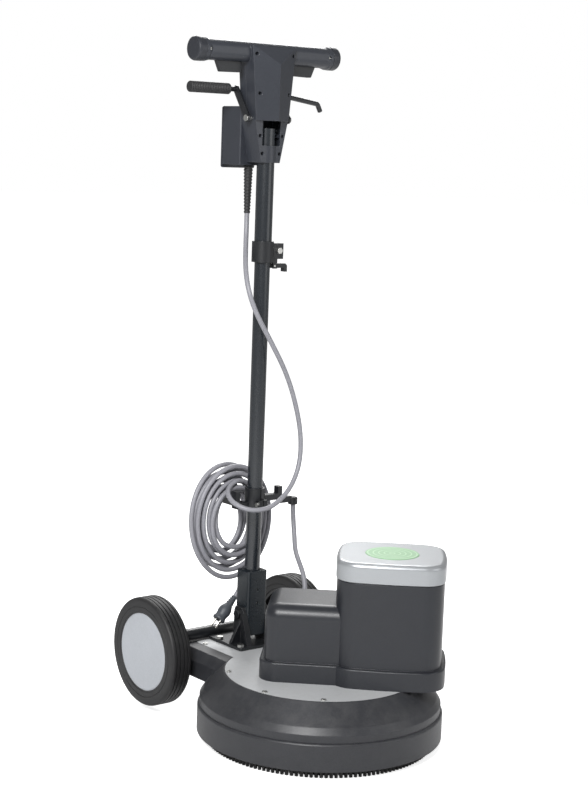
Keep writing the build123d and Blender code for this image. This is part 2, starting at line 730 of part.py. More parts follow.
# ------------------------------------------------------------- rear frame and wheels
PLATE_INNER_X = EAR_HALF + FIT
AXLE_HALF = WHEEL_INNER_X + WHEEL_W - 8
with BuildPart() as cross_tube:
    tube_plane = Plane(origin=(-PLATE_INNER_X, BRUSH_Y + CROSS_TUBE_BACK, CROSS_TUBE_Z),
                       x_dir=(0, 1, 0), z_dir=(1, 0, 0))
    with BuildSketch(tube_plane):
        Circle(CROSS_TUBE_R)
        Circle(CROSS_TUBE_R - 2.5, mode=Mode.SUBTRACT)
    extrude(amount=2 * PLATE_INNER_X)
write_piece("cross_tube", cross_tube)

FRAME_BOLT_SPOTS = [(248, 92), (248, 106)]
frame_bolt_planes = []
with BuildPart() as axle_plates:
    for side in (-1, 1):
        plate_plane = Plane(origin=(side * PLATE_INNER_X, BRUSH_Y, 0), x_dir=(0, 1, 0), z_dir=(1, 0, 0))
        with BuildSketch(plate_plane) as plate_outline:
            with BuildLine():
                Polyline(
                    (236, 84), (236, 112), (WHEEL_BACK - 27, 112), (WHEEL_BACK - 25, WHEEL_Z + 32.5),
                    (WHEEL_BACK + 9, WHEEL_Z + 32.5), (WHEEL_BACK + 17, WHEEL_Z + 3.5),
                    (WHEEL_BACK + 9, WHEEL_Z - 18.5), (WHEEL_BACK - 13, WHEEL_Z - 22.5), (280, 84), close=True,
                )
            make_face()
            fillet(plate_outline.vertices(), 5)
            with Locations((WHEEL_BACK, WHEEL_Z)):
                Circle(AXLE_R + FIT, mode=Mode.SUBTRACT)
            with Locations(*FRAME_BOLT_SPOTS):
                Circle(3.2, mode=Mode.SUBTRACT)
        extrude(amount=side * PLATE_T)
        for back, z in FRAME_BOLT_SPOTS:
            frame_bolt_planes.append(Plane(
                origin=(side * (PLATE_INNER_X + PLATE_T), BRUSH_Y + back, z),
                x_dir=(0, 1, 0), z_dir=(side, 0, 0),
            ))
write_piece("axle_plates", axle_plates)

for side, side_name in ((-1, "left"), (1, "right")):
    # wheel: tyre, moulded hub, painted disc
    inner = WHEEL_INNER_X
    outer = WHEEL_INNER_X + WHEEL_W
    wheel_plane = Plane(origin=(0, WHEEL_Y, WHEEL_Z), x_dir=(side, 0, 0), z_dir=(0, 0, side))
    wheel_axis = Axis((0, WHEEL_Y, WHEEL_Z), (1, 0, 0))
    rim_r = WHEEL_DISC_R + 2.5
    with BuildPart() as tyre:
        with BuildSketch(wheel_plane) as section:
            with Locations(((inner + outer) / 2, (rim_r + WHEEL_R) / 2)):
                Rectangle(WHEEL_W, WHEEL_R - rim_r)
            fillet(section.vertices().group_by(Axis((0, WHEEL_Y, WHEEL_Z), (0, 1, 0)))[-1], 8)
            with Locations(((inner + outer) / 2, WHEEL_R)):
                with GridLocations(7, 1, 4, 1):
                    Rectangle(2.4, 4, mode=Mode.SUBTRACT)
        revolve(axis=wheel_axis)
    write_piece(f"tyre_{side_name}", tyre)
    hub_outline = [
        (inner + 2, AXLE_R + FIT), (inner + 2, 20), (inner + 14, 20), (inner + 16, rim_r - 6),
        (inner + 2, rim_r - 6), (inner + 2, rim_r - FIT), (outer - 1, rim_r - FIT),
        (outer - 1, WHEEL_DISC_R + FIT), (outer - 4, WHEEL_DISC_R + FIT), (outer - 4, rim_r - 7),
        (inner + 22, rim_r - 7), (inner + 20, 20), (outer - 10, 20), (outer - 10, AXLE_R + FIT),
    ]
    hub_outline = [(side * x, r) for x, r in hub_outline]
    write_piece(f"wheel_hub_{side_name}", turned_x(WHEEL_Y, WHEEL_Z, hub_outline))
    disc_outline = [
        (outer - 4, 0), (outer - 4, WHEEL_DISC_R), (outer - 1.5, WHEEL_DISC_R),
        (outer - 0.7, WHEEL_DISC_R - 2), (outer - 0.7, 0),
    ]
    disc_outline = [(side * x, r) for x, r in disc_outline]
    write_piece(f"wheel_disc_{side_name}", turned_x(WHEEL_Y, WHEEL_Z, disc_outline))

COLLAR_R = AXLE_R + 6
CLIP_GROOVE = 1.5
with BuildPart() as wheel_axle:
    axle_profile = [(-AXLE_HALF, 0), (-AXLE_HALF, AXLE_R), (AXLE_HALF, AXLE_R), (AXLE_HALF, 0)]
    add(turned_x(WHEEL_Y, WHEEL_Z, axle_profile).part)
    for side in (-1, 1):
        # an end clip outside each hub and a spacing collar inside it
        clip_inner = side * (AXLE_HALF - CLIP_GROOVE)
        collar_inner = side * (PLATE_INNER_X + PLATE_T)
        collar_outer = side * (WHEEL_INNER_X + 2 - CLEAR)
        add(turned_x(WHEEL_Y, WHEEL_Z, [
            (clip_inner, AXLE_R - 1), (clip_inner, AXLE_R + 5), (side * AXLE_HALF, AXLE_R + 5),
            (side * AXLE_HALF, AXLE_R - 1),
        ]).part)
        add(turned_x(WHEEL_Y, WHEEL_Z, [
            (collar_inner, AXLE_R - 1), (collar_inner, COLLAR_R), (collar_outer, COLLAR_R),
            (collar_outer, AXLE_R - 1),
        ]).part)
write_piece("wheel_axle", wheel_axle)

# ------------------------------------------------------- handle bracket and sleeve
SLEEVE_BOLT_Z = (214, 240)
CHEEK_T = 7.0
CHEEK_INNER = SLEEVE_X / 2 + CLEAR
BRACKET_T = 6.0
BRACKET_TOP = DECK_TOP + BRACKET_T
BRACKET_HALF = 55.0
BRACKET_FRONT = 178.0
BRACKET_REAR = CROSS_TUBE_BACK - CROSS_TUBE_R - FIT
PIVOT_R = 5.0
PIVOT_Y = POLE_Y

with BuildPart() as handle_bracket:
    with BuildSketch(brush_plane(DECK_TOP)):
        with Locations((0, (BRACKET_FRONT + BRACKET_REAR) / 2)):
            RectangleRounded(2 * BRACKET_HALF, BRACKET_REAR - BRACKET_FRONT, 6)
        with Locations(*PLATE_SCREW_SPOTS):
            Circle(4.2, mode=Mode.SUBTRACT)
    extrude(amount=BRACKET_T)
    for side in (-1, 1):
        cheek_plane = Plane(origin=(side * CHEEK_INNER, BRUSH_Y, 0), x_dir=(0, 1, 0), z_dir=(1, 0, 0))
        with BuildSketch(cheek_plane):
            with BuildLine():
                Polyline(
                    (BRACKET_FRONT + 4, BRACKET_TOP - 1), (POLE_BACK - 17, PIVOT_Z + 4),
                    (POLE_BACK - 10, PIVOT_Z + 14), (POLE_BACK + 10, PIVOT_Z + 14),
                    (POLE_BACK + 14, PIVOT_Z + 6), (POLE_BACK + 15, BRACKET_TOP - 1), close=True,
                )
            make_face()
        extrude(amount=side * CHEEK_T)
        # a flange stiffens the front edge of each cheek and a gusset holds its side
        outer = side * (CHEEK_INNER + CHEEK_T)
        with BuildSketch(Plane(origin=(outer, BRUSH_Y, 0), x_dir=(0, 1, 0), z_dir=(1, 0, 0))):
            with BuildLine():
                Polyline(
                    (BRACKET_FRONT + 4, BRACKET_TOP - 1), (POLE_BACK - 17, PIVOT_Z + 4),
                    (POLE_BACK - 9, PIVOT_Z + 4), (BRACKET_FRONT + 13, BRACKET_TOP - 1), close=True,
                )
            make_face()
        extrude(amount=side * 5)
        gusset_plane = Plane(origin=(0, BRUSH_Y + POLE_BACK - 3, 0), x_dir=(1, 0, 0), z_dir=(0, -1, 0))
        with BuildSketch(gusset_plane):
            with BuildLine():
                Polyline(
                    (outer - side, BRACKET_TOP - 1), (side * (BRACKET_HALF - 2), BRACKET_TOP - 1),
                    (side * (BRACKET_HALF - 2), BRACKET_TOP + 4), (outer, PIVOT_Z - 12),
                    (outer - side, PIVOT_Z - 12), close=True,
                )
            make_face()
        extrude(amount=6)
    with Locations(Location((0, PIVOT_Y, PIVOT_Z), (0, 90, 0))):
        Hole(PIVOT_R + FIT, depth=200)
write_piece("handle_bracket", handle_bracket)

bracket_bolt_planes = [spot(brush_plane(BRACKET_TOP), x, y) for x, y in PLATE_SCREW_SPOTS]
with BuildPart() as deck_fasteners:
    add(screws(deck_screw_planes, SCREW_R, DECK_T + LEDGE_T, 5, 2.2).part)
    add(bolts(housing_bolt_planes, 3, DECK_T + HOUSING_FLANGE_T, 6, 4).part)
    add(bolts(spacer_bolt_planes, 3, 30, 6, 4).part)
    add(bolts(bracket_bolt_planes, 4, BRACKET_T + DECK_T, 7, 5).part)
    add(bolts(frame_bolt_planes, 3, PLATE_T, 6, 4).part)
write_piece("deck_fasteners", deck_fasteners)

PIVOT_REACH = CHEEK_INNER + CHEEK_T
with BuildPart() as pivot_bolt:
    head_plane = Plane(origin=(-PIVOT_REACH, PIVOT_Y, PIVOT_Z), x_dir=(0, 1, 0), z_dir=(-1, 0, 0))
    with BuildSketch(head_plane):
        RegularPolygon(9, 6)
    extrude(amount=6)
    with BuildSketch(head_plane):
        Circle(PIVOT_R)
    extrude(amount=-(2 * PIVOT_REACH + 12))
    # the nut on its far end
    with BuildSketch(Plane(origin=(PIVOT_REACH, PIVOT_Y, PIVOT_Z), x_dir=(0, 1, 0), z_dir=(1, 0, 0))):
        RegularPolygon(9, 6)
    extrude(amount=8)
write_piece("pivot_bolt", pivot_bolt)

with BuildPart() as handle_sleeve:
    with BuildSketch(Plane((0, POLE_Y, SLEEVE_BOTTOM))):
        RectangleRounded(SLEEVE_X, SLEEVE_Y, 5)
    extrude(amount=SLEEVE_TOP - SLEEVE_BOTTOM)
    fillet(handle_sleeve.faces().sort_by(Axis.Z)[-1].edges(), 2)
    with BuildSketch(Plane((0, POLE_Y, PIVOT_Z + 12))):
        Circle(LOWER_TUBE_R + FIT / 3)
    extrude(amount=SLEEVE_TOP - PIVOT_Z, mode=Mode.SUBTRACT)
    with BuildSketch(Plane((0, POLE_Y, SLEEVE_BOTTOM))):
        RectangleRounded(SLEEVE_X - 12, SLEEVE_Y - 12, 3)
    extrude(amount=PIVOT_Z - 14 - SLEEVE_BOTTOM, mode=Mode.SUBTRACT)
    with Locations(Location((0, PIVOT_Y, PIVOT_Z), (0, 90, 0))):
        Hole(PIVOT_R + FIT, depth=100)
    for bolt_z in SLEEVE_BOLT_Z:
        with Locations(Location((0, POLE_Y, bolt_z), (90, 0, 0))):
            Hole(3.1, depth=SLEEVE_Y)
write_piece("handle_sleeve", handle_sleeve)

with BuildPart() as lower_tube:
    with BuildSketch(Plane((0, POLE_Y, PIVOT_Z + 12))):
        Circle(LOWER_TUBE_R)
        Circle(LOWER_TUBE_R - 2, mode=Mode.SUBTRACT)
    extrude(amount=LOWER_TUBE_TOP - PIVOT_Z - 12)
    for bolt_z in SLEEVE_BOLT_Z:
        with Locations(Location((0, POLE_Y, bolt_z), (90, 0, 0))):
            Hole(3.1, depth=SLEEVE_Y)
write_piece("lower_tube", lower_tube)

sleeve_bolt_planes = [
    Plane(origin=(0, POLE_Y + SLEEVE_Y / 2, z), x_dir=(1, 0, 0), z_dir=(0, 1, 0)) for z in SLEEVE_BOLT_Z
]

# ------------------------------------------------------------- cord hanger and clip
ARM_REACH = 58.0
ARM_Z = HANGER_BOTTOM + 9
ARM_H = 12.0
HOOK_TOP = 414.5
HOOK_X = -29.0
HOOK_BACK = 63.5
PRONG_X = -45.0
HANGER_BOLT_Z = 412.0
HANGER_BOLT_Y = POLE_Y - HANGER_R - 3.5
CLIP_X = 96.0
CLIP_Z = 401.0
CLIP_H = 14.0
CLIP_BORE = 9.0
CLIP_R = CORD_HOLE_R + 4.2

with BuildPart() as cord_hanger:
    add(ring(0, POLE_Y, LOWER_TUBE_R + FIT / 3, HANGER_R, HANGER_BOTTOM, HANGER_TOP).part)
    # right arm with its upright prong
    with BuildSketch(Plane((0, POLE_Y, ARM_Z))):
        with Locations(((LOWER_TUBE_R + 2 + ARM_REACH + 5) / 2, 0)):
            Rectangle(ARM_REACH + 5 - LOWER_TUBE_R - 2, 14)
    extrude(amount=ARM_H)
    with BuildSketch(Plane((0, POLE_Y, ARM_Z))):
        with Locations((ARM_REACH, 0)):
            Rectangle(10, 14)
    extrude(amount=26)
    # left arm with its prong, turned back as the hook that the coil hangs on
    with BuildSketch(Plane((0, POLE_Y, HANGER_BOTTOM))):
        with Locations(((PRONG_X - 5 - LOWER_TUBE_R - 2) / 2, 0)):
            Rectangle(-PRONG_X + 5 - LOWER_TUBE_R - 2, 14)
        with Locations((HOOK_X, (HOOK_BACK + 8) / 2)):
            Rectangle(14, HOOK_BACK + 8)
    extrude(amount=HOOK_TOP - HANGER_BOTTOM)
    with BuildSketch(Plane((0, POLE_Y, HANGER_BOTTOM))):
        with Locations((HOOK_X, HOOK_BACK + 4)):
            Rectangle(14, 8)
        with Locations((PRONG_X, 0)):
            Rectangle(10, 14)
    extrude(amount=34)
    # ears that clamp the collar at the front
    with BuildSketch(Plane((0, HANGER_BOLT_Y, HANGER_BOTTOM))):
        Rectangle(20, 11)
    extrude(amount=16)
    with BuildSketch(Plane((0, HANGER_BOLT_Y, HANGER_BOTTOM))):
        Rectangle(2, 18)
    extrude(amount=HANGER_TOP - HANGER_BOTTOM, mode=Mode.SUBTRACT)
    with Locations(Location((0, HANGER_BOLT_Y, HANGER_BOLT_Z), (0, 90, 0))):
        Hole(2.5 + FIT, depth=30)
    # a lug carries the cord clip
    lug_end = CLIP_X - CORD_HOLE_R - 1
    lug_start = ARM_REACH + 2
    with BuildSketch(Plane((0, POLE_Y, HANGER_BOTTOM))):
        with Locations(((lug_start + lug_end) / 2, 0)):
            Rectangle(lug_end - lug_start, 8)
    extrude(amount=ARM_Z - HANGER_BOTTOM + 3)
    # the clip that the motor's cord comes out of
    add(turned(CLIP_X, POLE_Y, [
        (CORD_HOLE_R, CLIP_Z - 2), (CLIP_R, CLIP_Z - 2), (CLIP_R, CLIP_Z + CLIP_H - 4),
        (CLIP_R - 2, CLIP_Z + CLIP_H - 2), (0, CLIP_Z + CLIP_H - 2), (0, CLIP_Z + CLIP_BORE),
        (CORD_HOLE_R, CLIP_Z + CLIP_BORE),
    ]).part)
write_piece("cord_hanger", cord_hanger)

hanger_bolt_plane = Plane(origin=(-10, HANGER_BOLT_Y, HANGER_BOLT_Z), x_dir=(0, 1, 0), z_dir=(-1, 0, 0))
with BuildPart() as pole_bolts:
    add(bolts([hanger_bolt_plane], 2.5, 23, 4.6, 3.5).part)
    add(bolts(sleeve_bolt_planes, 3, SLEEVE_Y - 4, 5.5, 4).part)
write_piece("pole_bolts", pole_bolts)

# -------------------------------------------------------- upper tube and its clamp
write_piece(
    "upper_tube",
    ring(0, POLE_Y, UPPER_TUBE_R - TUBE_WALL, UPPER_TUBE_R, UPPER_TUBE_BOTTOM, UPPER_TUBE_TOP),
)

CLAMP_BOLT = (31.0, 902.0)
LEVER_PIN = (24.0, 872.5)
LEVER_PIN_HOLE = 2.0
LEVER_HALF = 6.0
EAR_T = 2.5
with BuildPart() as tube_clamp:
    add(turned(0, POLE_Y, [
        (LOWER_TUBE_R + CLEAR, CLAMP_BOTTOM), (CLAMP_R, CLAMP_BOTTOM), (CLAMP_R, CLAMP_TOP),
        (UPPER_TUBE_R + FIT / 3, CLAMP_TOP), (UPPER_TUBE_R + FIT / 3, UPPER_TUBE_BOTTOM),
        (LOWER_TUBE_R + CLEAR, UPPER_TUBE_BOTTOM),
    ]).part)
    with BuildSketch(Plane((0, POLE_Y, CLAMP_BOTTOM + 6))):
        with Locations(((UPPER_TUBE_R + 2 + 44) / 2, 0)):
            Rectangle(44 - UPPER_TUBE_R - 2, 20)
    extrude(amount=30)
    fillet(tube_clamp.faces().sort_by(Axis.X)[-1].edges(), 3)
    with BuildSketch(Plane((0, POLE_Y, CLAMP_BOTTOM))):
        with Locations((38, 0)):
            Rectangle(48, 2)
    extrude(amount=CLAMP_TOP - CLAMP_BOTTOM, mode=Mode.SUBTRACT)
    with Locations(Location((CLAMP_BOLT[0], POLE_Y, CLAMP_BOLT[1]), (90, 0, 0))):
        Hole(3.2, depth=40)
    # two ears under it carry the lever
    for lie in (-1, 1):
        ear_face = POLE_Y + lie * (LEVER_HALF + CLEAR)
        with BuildSketch(Plane(origin=(0, ear_face, 0), x_dir=(1, 0, 0), z_dir=(0, -1, 0))):
            with Locations((LEVER_PIN[0] + 0.5, (LEVER_PIN[1] - 5 + CLAMP_BOTTOM + 6) / 2)):
                Rectangle(10, CLAMP_BOTTOM + 6 - LEVER_PIN[1] + 5)
            with Locations(LEVER_PIN):
                Circle(LEVER_PIN_HOLE, mode=Mode.SUBTRACT)
        extrude(amount=-lie * EAR_T)
write_piece("tube_clamp", tube_clamp)

clamp_bolt_plane = Plane(
    origin=(CLAMP_BOLT[0], POLE_Y - 10, CLAMP_BOLT[1]), x_dir=(1, 0, 0), z_dir=(0, -1, 0)
)

LEVER_ROOT_X = 19.5
LEVER_TIP_X = 56.0
with BuildPart() as clamp_lever:
    with BuildSketch(Plane(origin=(0, POLE_Y + LEVER_HALF, 0), x_dir=(1, 0, 0), z_dir=(0, -1, 0))):
        with BuildLine():
            Polyline(
                (LEVER_ROOT_X, 868.5), (LEVER_ROOT_X, 877), (LEVER_TIP_X - 4, 877), (LEVER_TIP_X, 873),
                (LEVER_TIP_X, 861), (LEVER_TIP_X - 6, 861), (LEVER_TIP_X - 6, 868.5), close=True,
            )
        make_face()
    extrude(amount=2 * LEVER_HALF)
    with Locations(Location((LEVER_PIN[0], POLE_Y, LEVER_PIN[1]), (90, 0, 0))):
        Hole(LEVER_PIN_HOLE + FIT, depth=40)
write_piece("clamp_lever", clamp_lever)

# ---------------------------------------------------------------------------- head
SPLIT_Y = BAR_Y
BAR_ROUND = 15.0
LOBE_START = 132.0
BROW_TOP_Z = 1283.0
BROW_LOW_Z = 1250.0
RECESS_HALF = 21.0
RECESS_BOTTOM = 1100.0
SOCKET_R = 19.5
SLOT_X = (56.0, 121.0)
SLOT_HALF = 8.0


def column_section(z, half, front, ridge, inset):
    """One level of the column: a five-sided section with a ridge down its front."""
    rear = BRUSH_Y + COLUMN_REAR - inset
    side = half - inset
    edge = BRUSH_Y + front + inset * 1.1
    nose = BRUSH_Y + ridge + inset * 1.1
    with BuildSketch(Plane.XY.offset(z), mode=Mode.PRIVATE) as section:
        with BuildLine():
            Polyline((-side, rear), (side, rear), (side, edge), (0, nose), (-side, edge), close=True)
        make_face()
    return section.sketch


def head_form(inset):
    """The head's outer form, or its hollow when inset by the wall."""
    with BuildPart(mode=Mode.PRIVATE) as form:
        # upper column with the ridged front
        add(column_section(COLUMN_STEP_Z + inset, COLUMN_HALF, COLUMN_FRONT, COLUMN_RIDGE, inset))
        add(column_section(BROW_TOP_Z, COLUMN_TOP_HALF, COLUMN_FRONT, COLUMN_RIDGE, inset))
        loft(ruled=True)
        # a sloping brow runs from the bar down to the ridge
        slope_run = COLUMN_FRONT - COLUMN_RIDGE
        slope_rise = BROW_TOP_Z - BROW_LOW_Z
        brow_y = BRUSH_Y + COLUMN_RIDGE
        drop = inset * 1.6
        with BuildSketch(Plane(origin=(0, 0, 0), x_dir=(0, 1, 0), z_dir=(1, 0, 0))):
            with BuildLine():
                Polyline(
                    (brow_y - slope_run, BROW_LOW_Z - slope_rise - drop),
                    (brow_y + slope_run, BROW_TOP_Z - drop), (brow_y + slope_run, BROW_TOP_Z + 30),
                    (brow_y - slope_run, BROW_TOP_Z + 30), close=True,
                )
            make_face()
        extrude(amount=90, both=True, mode=Mode.SUBTRACT)
        # lower column with a flat front, tapering to the tube
        low_nose = COLUMN_LOW_FRONT - 2
        low_top = COLUMN_STEP_Z + inset + 1
        add(column_section(COLUMN_BOTTOM + inset, COLUMN_BOTTOM_HALF, COLUMN_LOW_FRONT, low_nose, inset))
        add(column_section(low_top, COLUMN_HALF, COLUMN_LOW_FRONT, low_nose, inset))
        loft(ruled=True)
        # hand bar
        bar_start = Plane(origin=(-BAR_HALF - inset, BAR_Y, BAR_Z), x_dir=(0, 1, 0), z_dir=(1, 0, 0))
        with BuildSketch(bar_start):
            RectangleRounded(BAR_DEEP - 2 * inset, BAR_HIGH - 2 * inset, BAR_ROUND - inset)
        extrude(amount=2 * (BAR_HALF + inset))
        lobe_root = BAR_HIGH / 2 - inset
        lobe_end = CAP_R - 0.3 - inset
        for side in (-1, 1):
            add(turned_x(BAR_Y, BAR_Z, [
                (side * LOBE_START, 0), (side * LOBE_START, lobe_root),
                (side * (BAR_HALF - 6), lobe_end), (side * (BAR_HALF + inset), lobe_end),
                (side * (BAR_HALF + inset), 0),
            ]).part)
    return form.part


LEVER_PIN_R = 3.0
TRIGGER_PIN = (66.0, 1263.0)
TRIGGER_PIN_R = 2.0
HEAD_SCREWS = [(141, 1271), (43, 1268), (34, 1196), (26.5, 1118), (20.5, 1085)]
HEAD_SCREW_SPOTS = [(side * x, z) for x, z in HEAD_SCREWS for side in (-1, 1)]
HEAD_SCREW_SEAT = BRUSH_Y + 215
POST_R = 4.5
POST_BORE = 1.6


def head_shell(front):
    """The front or the rear half of the head casing, with its screw posts and slots."""
    with BuildPart() as shell:
        add(head_form(0))
        add(head_form(HEAD_WALL), mode=Mode.SUBTRACT)
        # screw posts run through, trimmed to the head's own form
        with BuildPart(mode=Mode.PRIVATE) as posts:
            with BuildSketch(Plane.XZ.offset(-(BRUSH_Y + COLUMN_RIDGE))):
                with Locations(*HEAD_SCREW_SPOTS):
                    Circle(POST_R)
            extrude(amount=-(COLUMN_REAR + 10 - COLUMN_RIDGE))
            add(head_form(0), mode=Mode.INTERSECT)
        add(posts.part)
        # socket for the handle tube
        with BuildSketch(Plane((0, POLE_Y, COLUMN_BOTTOM))):
            Circle(SOCKET_R)
        extrude(amount=RECESS_BOTTOM - COLUMN_BOTTOM)
        # window above the socket
        with BuildSketch(Plane((0, POLE_Y - 14, RECESS_BOTTOM))):
            Rectangle(2 * RECESS_HALF, 36)
        extrude(amount=COLUMN_STEP_Z - RECESS_BOTTOM, mode=Mode.SUBTRACT)
        # bore for the tube, trigger slots and lever pins
        with BuildSketch(Plane((0, POLE_Y, COLUMN_BOTTOM - 1))):
            Circle(UPPER_TUBE_R + FIT / 3)
        extrude(amount=UPPER_TUBE_TOP - COLUMN_BOTTOM + 3, mode=Mode.SUBTRACT)
        # the lower tube comes up through here when the handle is set low
        with BuildSketch(Plane((0, POLE_Y, UPPER_TUBE_TOP))):
            Circle(LOWER_TUBE_R + 1)
        extrude(amount=LOWER_TUBE_TOP + HEIGHT_DROP + 5 - UPPER_TUBE_TOP, mode=Mode.SUBTRACT)
        with BuildSketch(Plane((0, BAR_Y, BAR_Z - BAR_HIGH / 2 - 2))):
            for side in (-1, 1):
                with Locations((side * (SLOT_X[0] + SLOT_X[1]) / 2, 0)):
                    Rectangle(SLOT_X[1] - SLOT_X[0], 2 * SLOT_HALF)
        extrude(amount=HEAD_WALL + 4, mode=Mode.SUBTRACT)
        with Locations(Location((0, BRUSH_Y + LEVER_PIVOT[0], LEVER_PIVOT[1]), (0, 90, 0))):
            Hole(LEVER_PIN_R + FIT, depth=120)
        with Locations(*[Location((x, BAR_Y, z), (90, 0, 0)) for x, z in HEAD_SCREW_SPOTS]):
            Hole(POST_BORE, depth=120)
        # blind bores hold the trigger pins
        with Locations(*[
            Location((side * TRIGGER_PIN[0], BAR_Y, TRIGGER_PIN[1]), (90, 0, 0)) for side in (-1, 1)
        ]):
            Hole(TRIGGER_PIN_R + FIT, depth=BAR_DEEP / 2 - 1.5)
        # counterbores let the screw heads down to their posts
        with BuildSketch(Plane.XZ.offset(-(HEAD_SCREW_SEAT))):
            with Locations(*HEAD_SCREW_SPOTS):
                Circle(POST_R - 1)
        extrude(amount=60, mode=Mode.SUBTRACT)
        # keep one side of the split
        keep = Keep.BOTTOM if front else Keep.TOP
        split(bisect_by=Plane(origin=(0, SPLIT_Y, 0), x_dir=(1, 0, 0), z_dir=(0, 1, 0)), keep=keep)
    return shell


write_piece("head_front_shell", head_shell(True))
write_piece("head_rear_shell", head_shell(False))

head_screw_planes = [
    Plane(origin=(x, HEAD_SCREW_SEAT, z), x_dir=(1, 0, 0), z_dir=(0, -1, 0)) for x, z in HEAD_SCREW_SPOTS
]

with BuildPart() as bar_caps:
    for side in (-1, 1):
        add(turned_x(BAR_Y, BAR_Z, [
            (side * (BAR_HALF - 3), 0), (side * (BAR_HALF - 3), BAR_ROUND - HEAD_WALL - 1),
            (side * (BAR_HALF + FIT), BAR_ROUND - HEAD_WALL - 1), (side * (BAR_HALF + FIT), CAP_R),
            (side * (BAR_HALF + CAP_T - 5), CAP_R), (side * (BAR_HALF + CAP_T - 1.5), CAP_R - 1.5),
            (side * (BAR_HALF + CAP_T), CAP_R - 5), (side * (BAR_HALF + CAP_T), 0),
        ]).part)
write_piece("bar_caps", bar_caps)

# --------------------------------------------------------------- start triggers
TRIGGER_T = 10.0
for side, side_name in ((-1, "left"), (1, "right")):
    with BuildPart() as trigger:
        trigger_plane = Plane(origin=(0, BAR_Y + TRIGGER_T / 2, 0), x_dir=(1, 0, 0), z_dir=(0, -1, 0))
        with BuildSketch(trigger_plane) as outline:
            with BuildLine():
                Polyline(
                    (side * 59, 1233), (side * 107, 1232), (side * 116, 1252), (side * 116, 1261),
                    (side * 76, 1261), (side * 72, 1269), (side * 60, 1269), close=True,
                )
            make_face()
            fillet(outline.vertices(), 2.5)
        extrude(amount=TRIGGER_T)
        with Locations(Location((side * TRIGGER_PIN[0], BAR_Y, TRIGGER_PIN[1]), (90, 0, 0))):
            Hole(TRIGGER_PIN_R + FIT, depth=TRIGGER_T)
    write_piece(f"trigger_{side_name}", trigger)

SWITCH_BOTTOM = 1273.0

# ------------------------------------------------------------------ height levers
LEVER_Y = BRUSH_Y + LEVER_PIVOT[0]
LEVER_END_Y = BRUSH_Y + LEVER_END[0]
LEVER_INNER_X = COLUMN_TOP_HALF - 5
LEVER_T = 4.0
LEVER_W = 14.0
ROD_R = 4.8
GRIP_R = 10.5
GRIP_START = 66.0
GRIP_END = 150.0
lever_run = LEVER_END_Y - LEVER_Y
lever_rise = LEVER_END[1] - LEVER_PIVOT[1]
lever_length = sqrt(lever_run ** 2 + lever_rise ** 2)
ROD_STEP = 8.0
ROD_DROP = 19.0
TIP_DROP = 34.0

for side, side_name in ((-1, "left"), (1, "right")):
    arm_plane = Plane(
        origin=(side * LEVER_INNER_X, LEVER_Y, LEVER_PIVOT[1]),
        x_dir=(0, lever_run / lever_length, lever_rise / lever_length), z_dir=(side, 0, 0),
    )
    rod_plane = Plane(
        origin=(side * LEVER_INNER_X, LEVER_END_Y, LEVER_END[1]), x_dir=(0, 1, 0), z_dir=(side, 0, 0)
    )
    with BuildPart() as lever:
        with BuildSketch(arm_plane):
            with Locations((lever_length / 2, 0)):
                SlotCenterToCenter(lever_length, LEVER_W)
            Circle(8)
            Circle(LEVER_PIN_R + FIT, mode=Mode.SUBTRACT)
        extrude(amount=LEVER_T)
        with BuildSketch(rod_plane):
            Circle(ROD_R)
        if side < 0:
            extrude(amount=GRIP_END - LEVER_INNER_X)
        else:
            # the right rod slopes down outwards and ends in a tip that is bent down
            with BuildLine(mode=Mode.PRIVATE) as rod_route:
                FilletPolyline(
                    (LEVER_INNER_X, LEVER_END_Y, LEVER_END[1]),
                    (LEVER_INNER_X + ROD_STEP, LEVER_END_Y, LEVER_END[1]),
                    (LEVER_INNER_X + 3 * ROD_STEP, LEVER_END_Y, LEVER_END[1] - ROD_STEP),
                    (GRIP_END, LEVER_END_Y, LEVER_END[1] - ROD_DROP),
                    (GRIP_END + ROD_STEP, LEVER_END_Y, LEVER_END[1] - TIP_DROP), radius=7,
                )
            sweep(path=rod_route.wires()[0])
            fillet(lever.faces().sort_by(Axis.X)[-1].edges(), 2)
    write_piece(f"lever_{side_name}", lever)

lever_grip = turned_x(LEVER_END_Y, LEVER_END[1], [
    (-GRIP_START, ROD_R + FIT / 3), (-GRIP_START, GRIP_R - 1.5), (-GRIP_START - 1.5, GRIP_R),
    (-GRIP_END - 3, GRIP_R), (-GRIP_END - 6, GRIP_R - 4), (-GRIP_END - 6, 0), (-GRIP_END - FIT / 3, 0),
    (-GRIP_END - FIT / 3, ROD_R + FIT / 3),
])
write_piece("lever_grip", lever_grip)

PIN_INNER = COLUMN_HALF - 12
PIN_REACH = BAR_DEEP / 2 - 1.5 - FIT
with BuildPart() as control_pins:
    for side in (-1, 1):
        pin_end = LEVER_INNER_X + LEVER_T + CLEAR
        pin_outline = [
            (side * PIN_INNER, 0), (side * PIN_INNER, LEVER_PIN_R), (side * pin_end, LEVER_PIN_R),
            (side * pin_end, 6), (side * (pin_end + 2.5), 6), (side * (pin_end + 2.5), 0),
        ]
        add(turned_x(LEVER_Y, LEVER_PIVOT[1], pin_outline).part)
        # each trigger turns on a pin with a coil spring at both ends
        with BuildSketch(Plane(
            origin=(side * TRIGGER_PIN[0], BAR_Y - PIN_REACH, TRIGGER_PIN[1]), x_dir=(1, 0, 0), z_dir=(0, 1, 0)
        )):
            Circle(TRIGGER_PIN_R)
        extrude(amount=2 * PIN_REACH)
        for lie in (-1, 1):
            with BuildSketch(Plane(
                origin=(side * TRIGGER_PIN[0], BAR_Y + lie * (TRIGGER_T / 2 + CLEAR), TRIGGER_PIN[1]),
                x_dir=(1, 0, 0), z_dir=(0, lie, 0),
            )):
                Circle(TRIGGER_PIN_R + 1.8)
            extrude(amount=5)
write_piece("control_pins", control_pins)

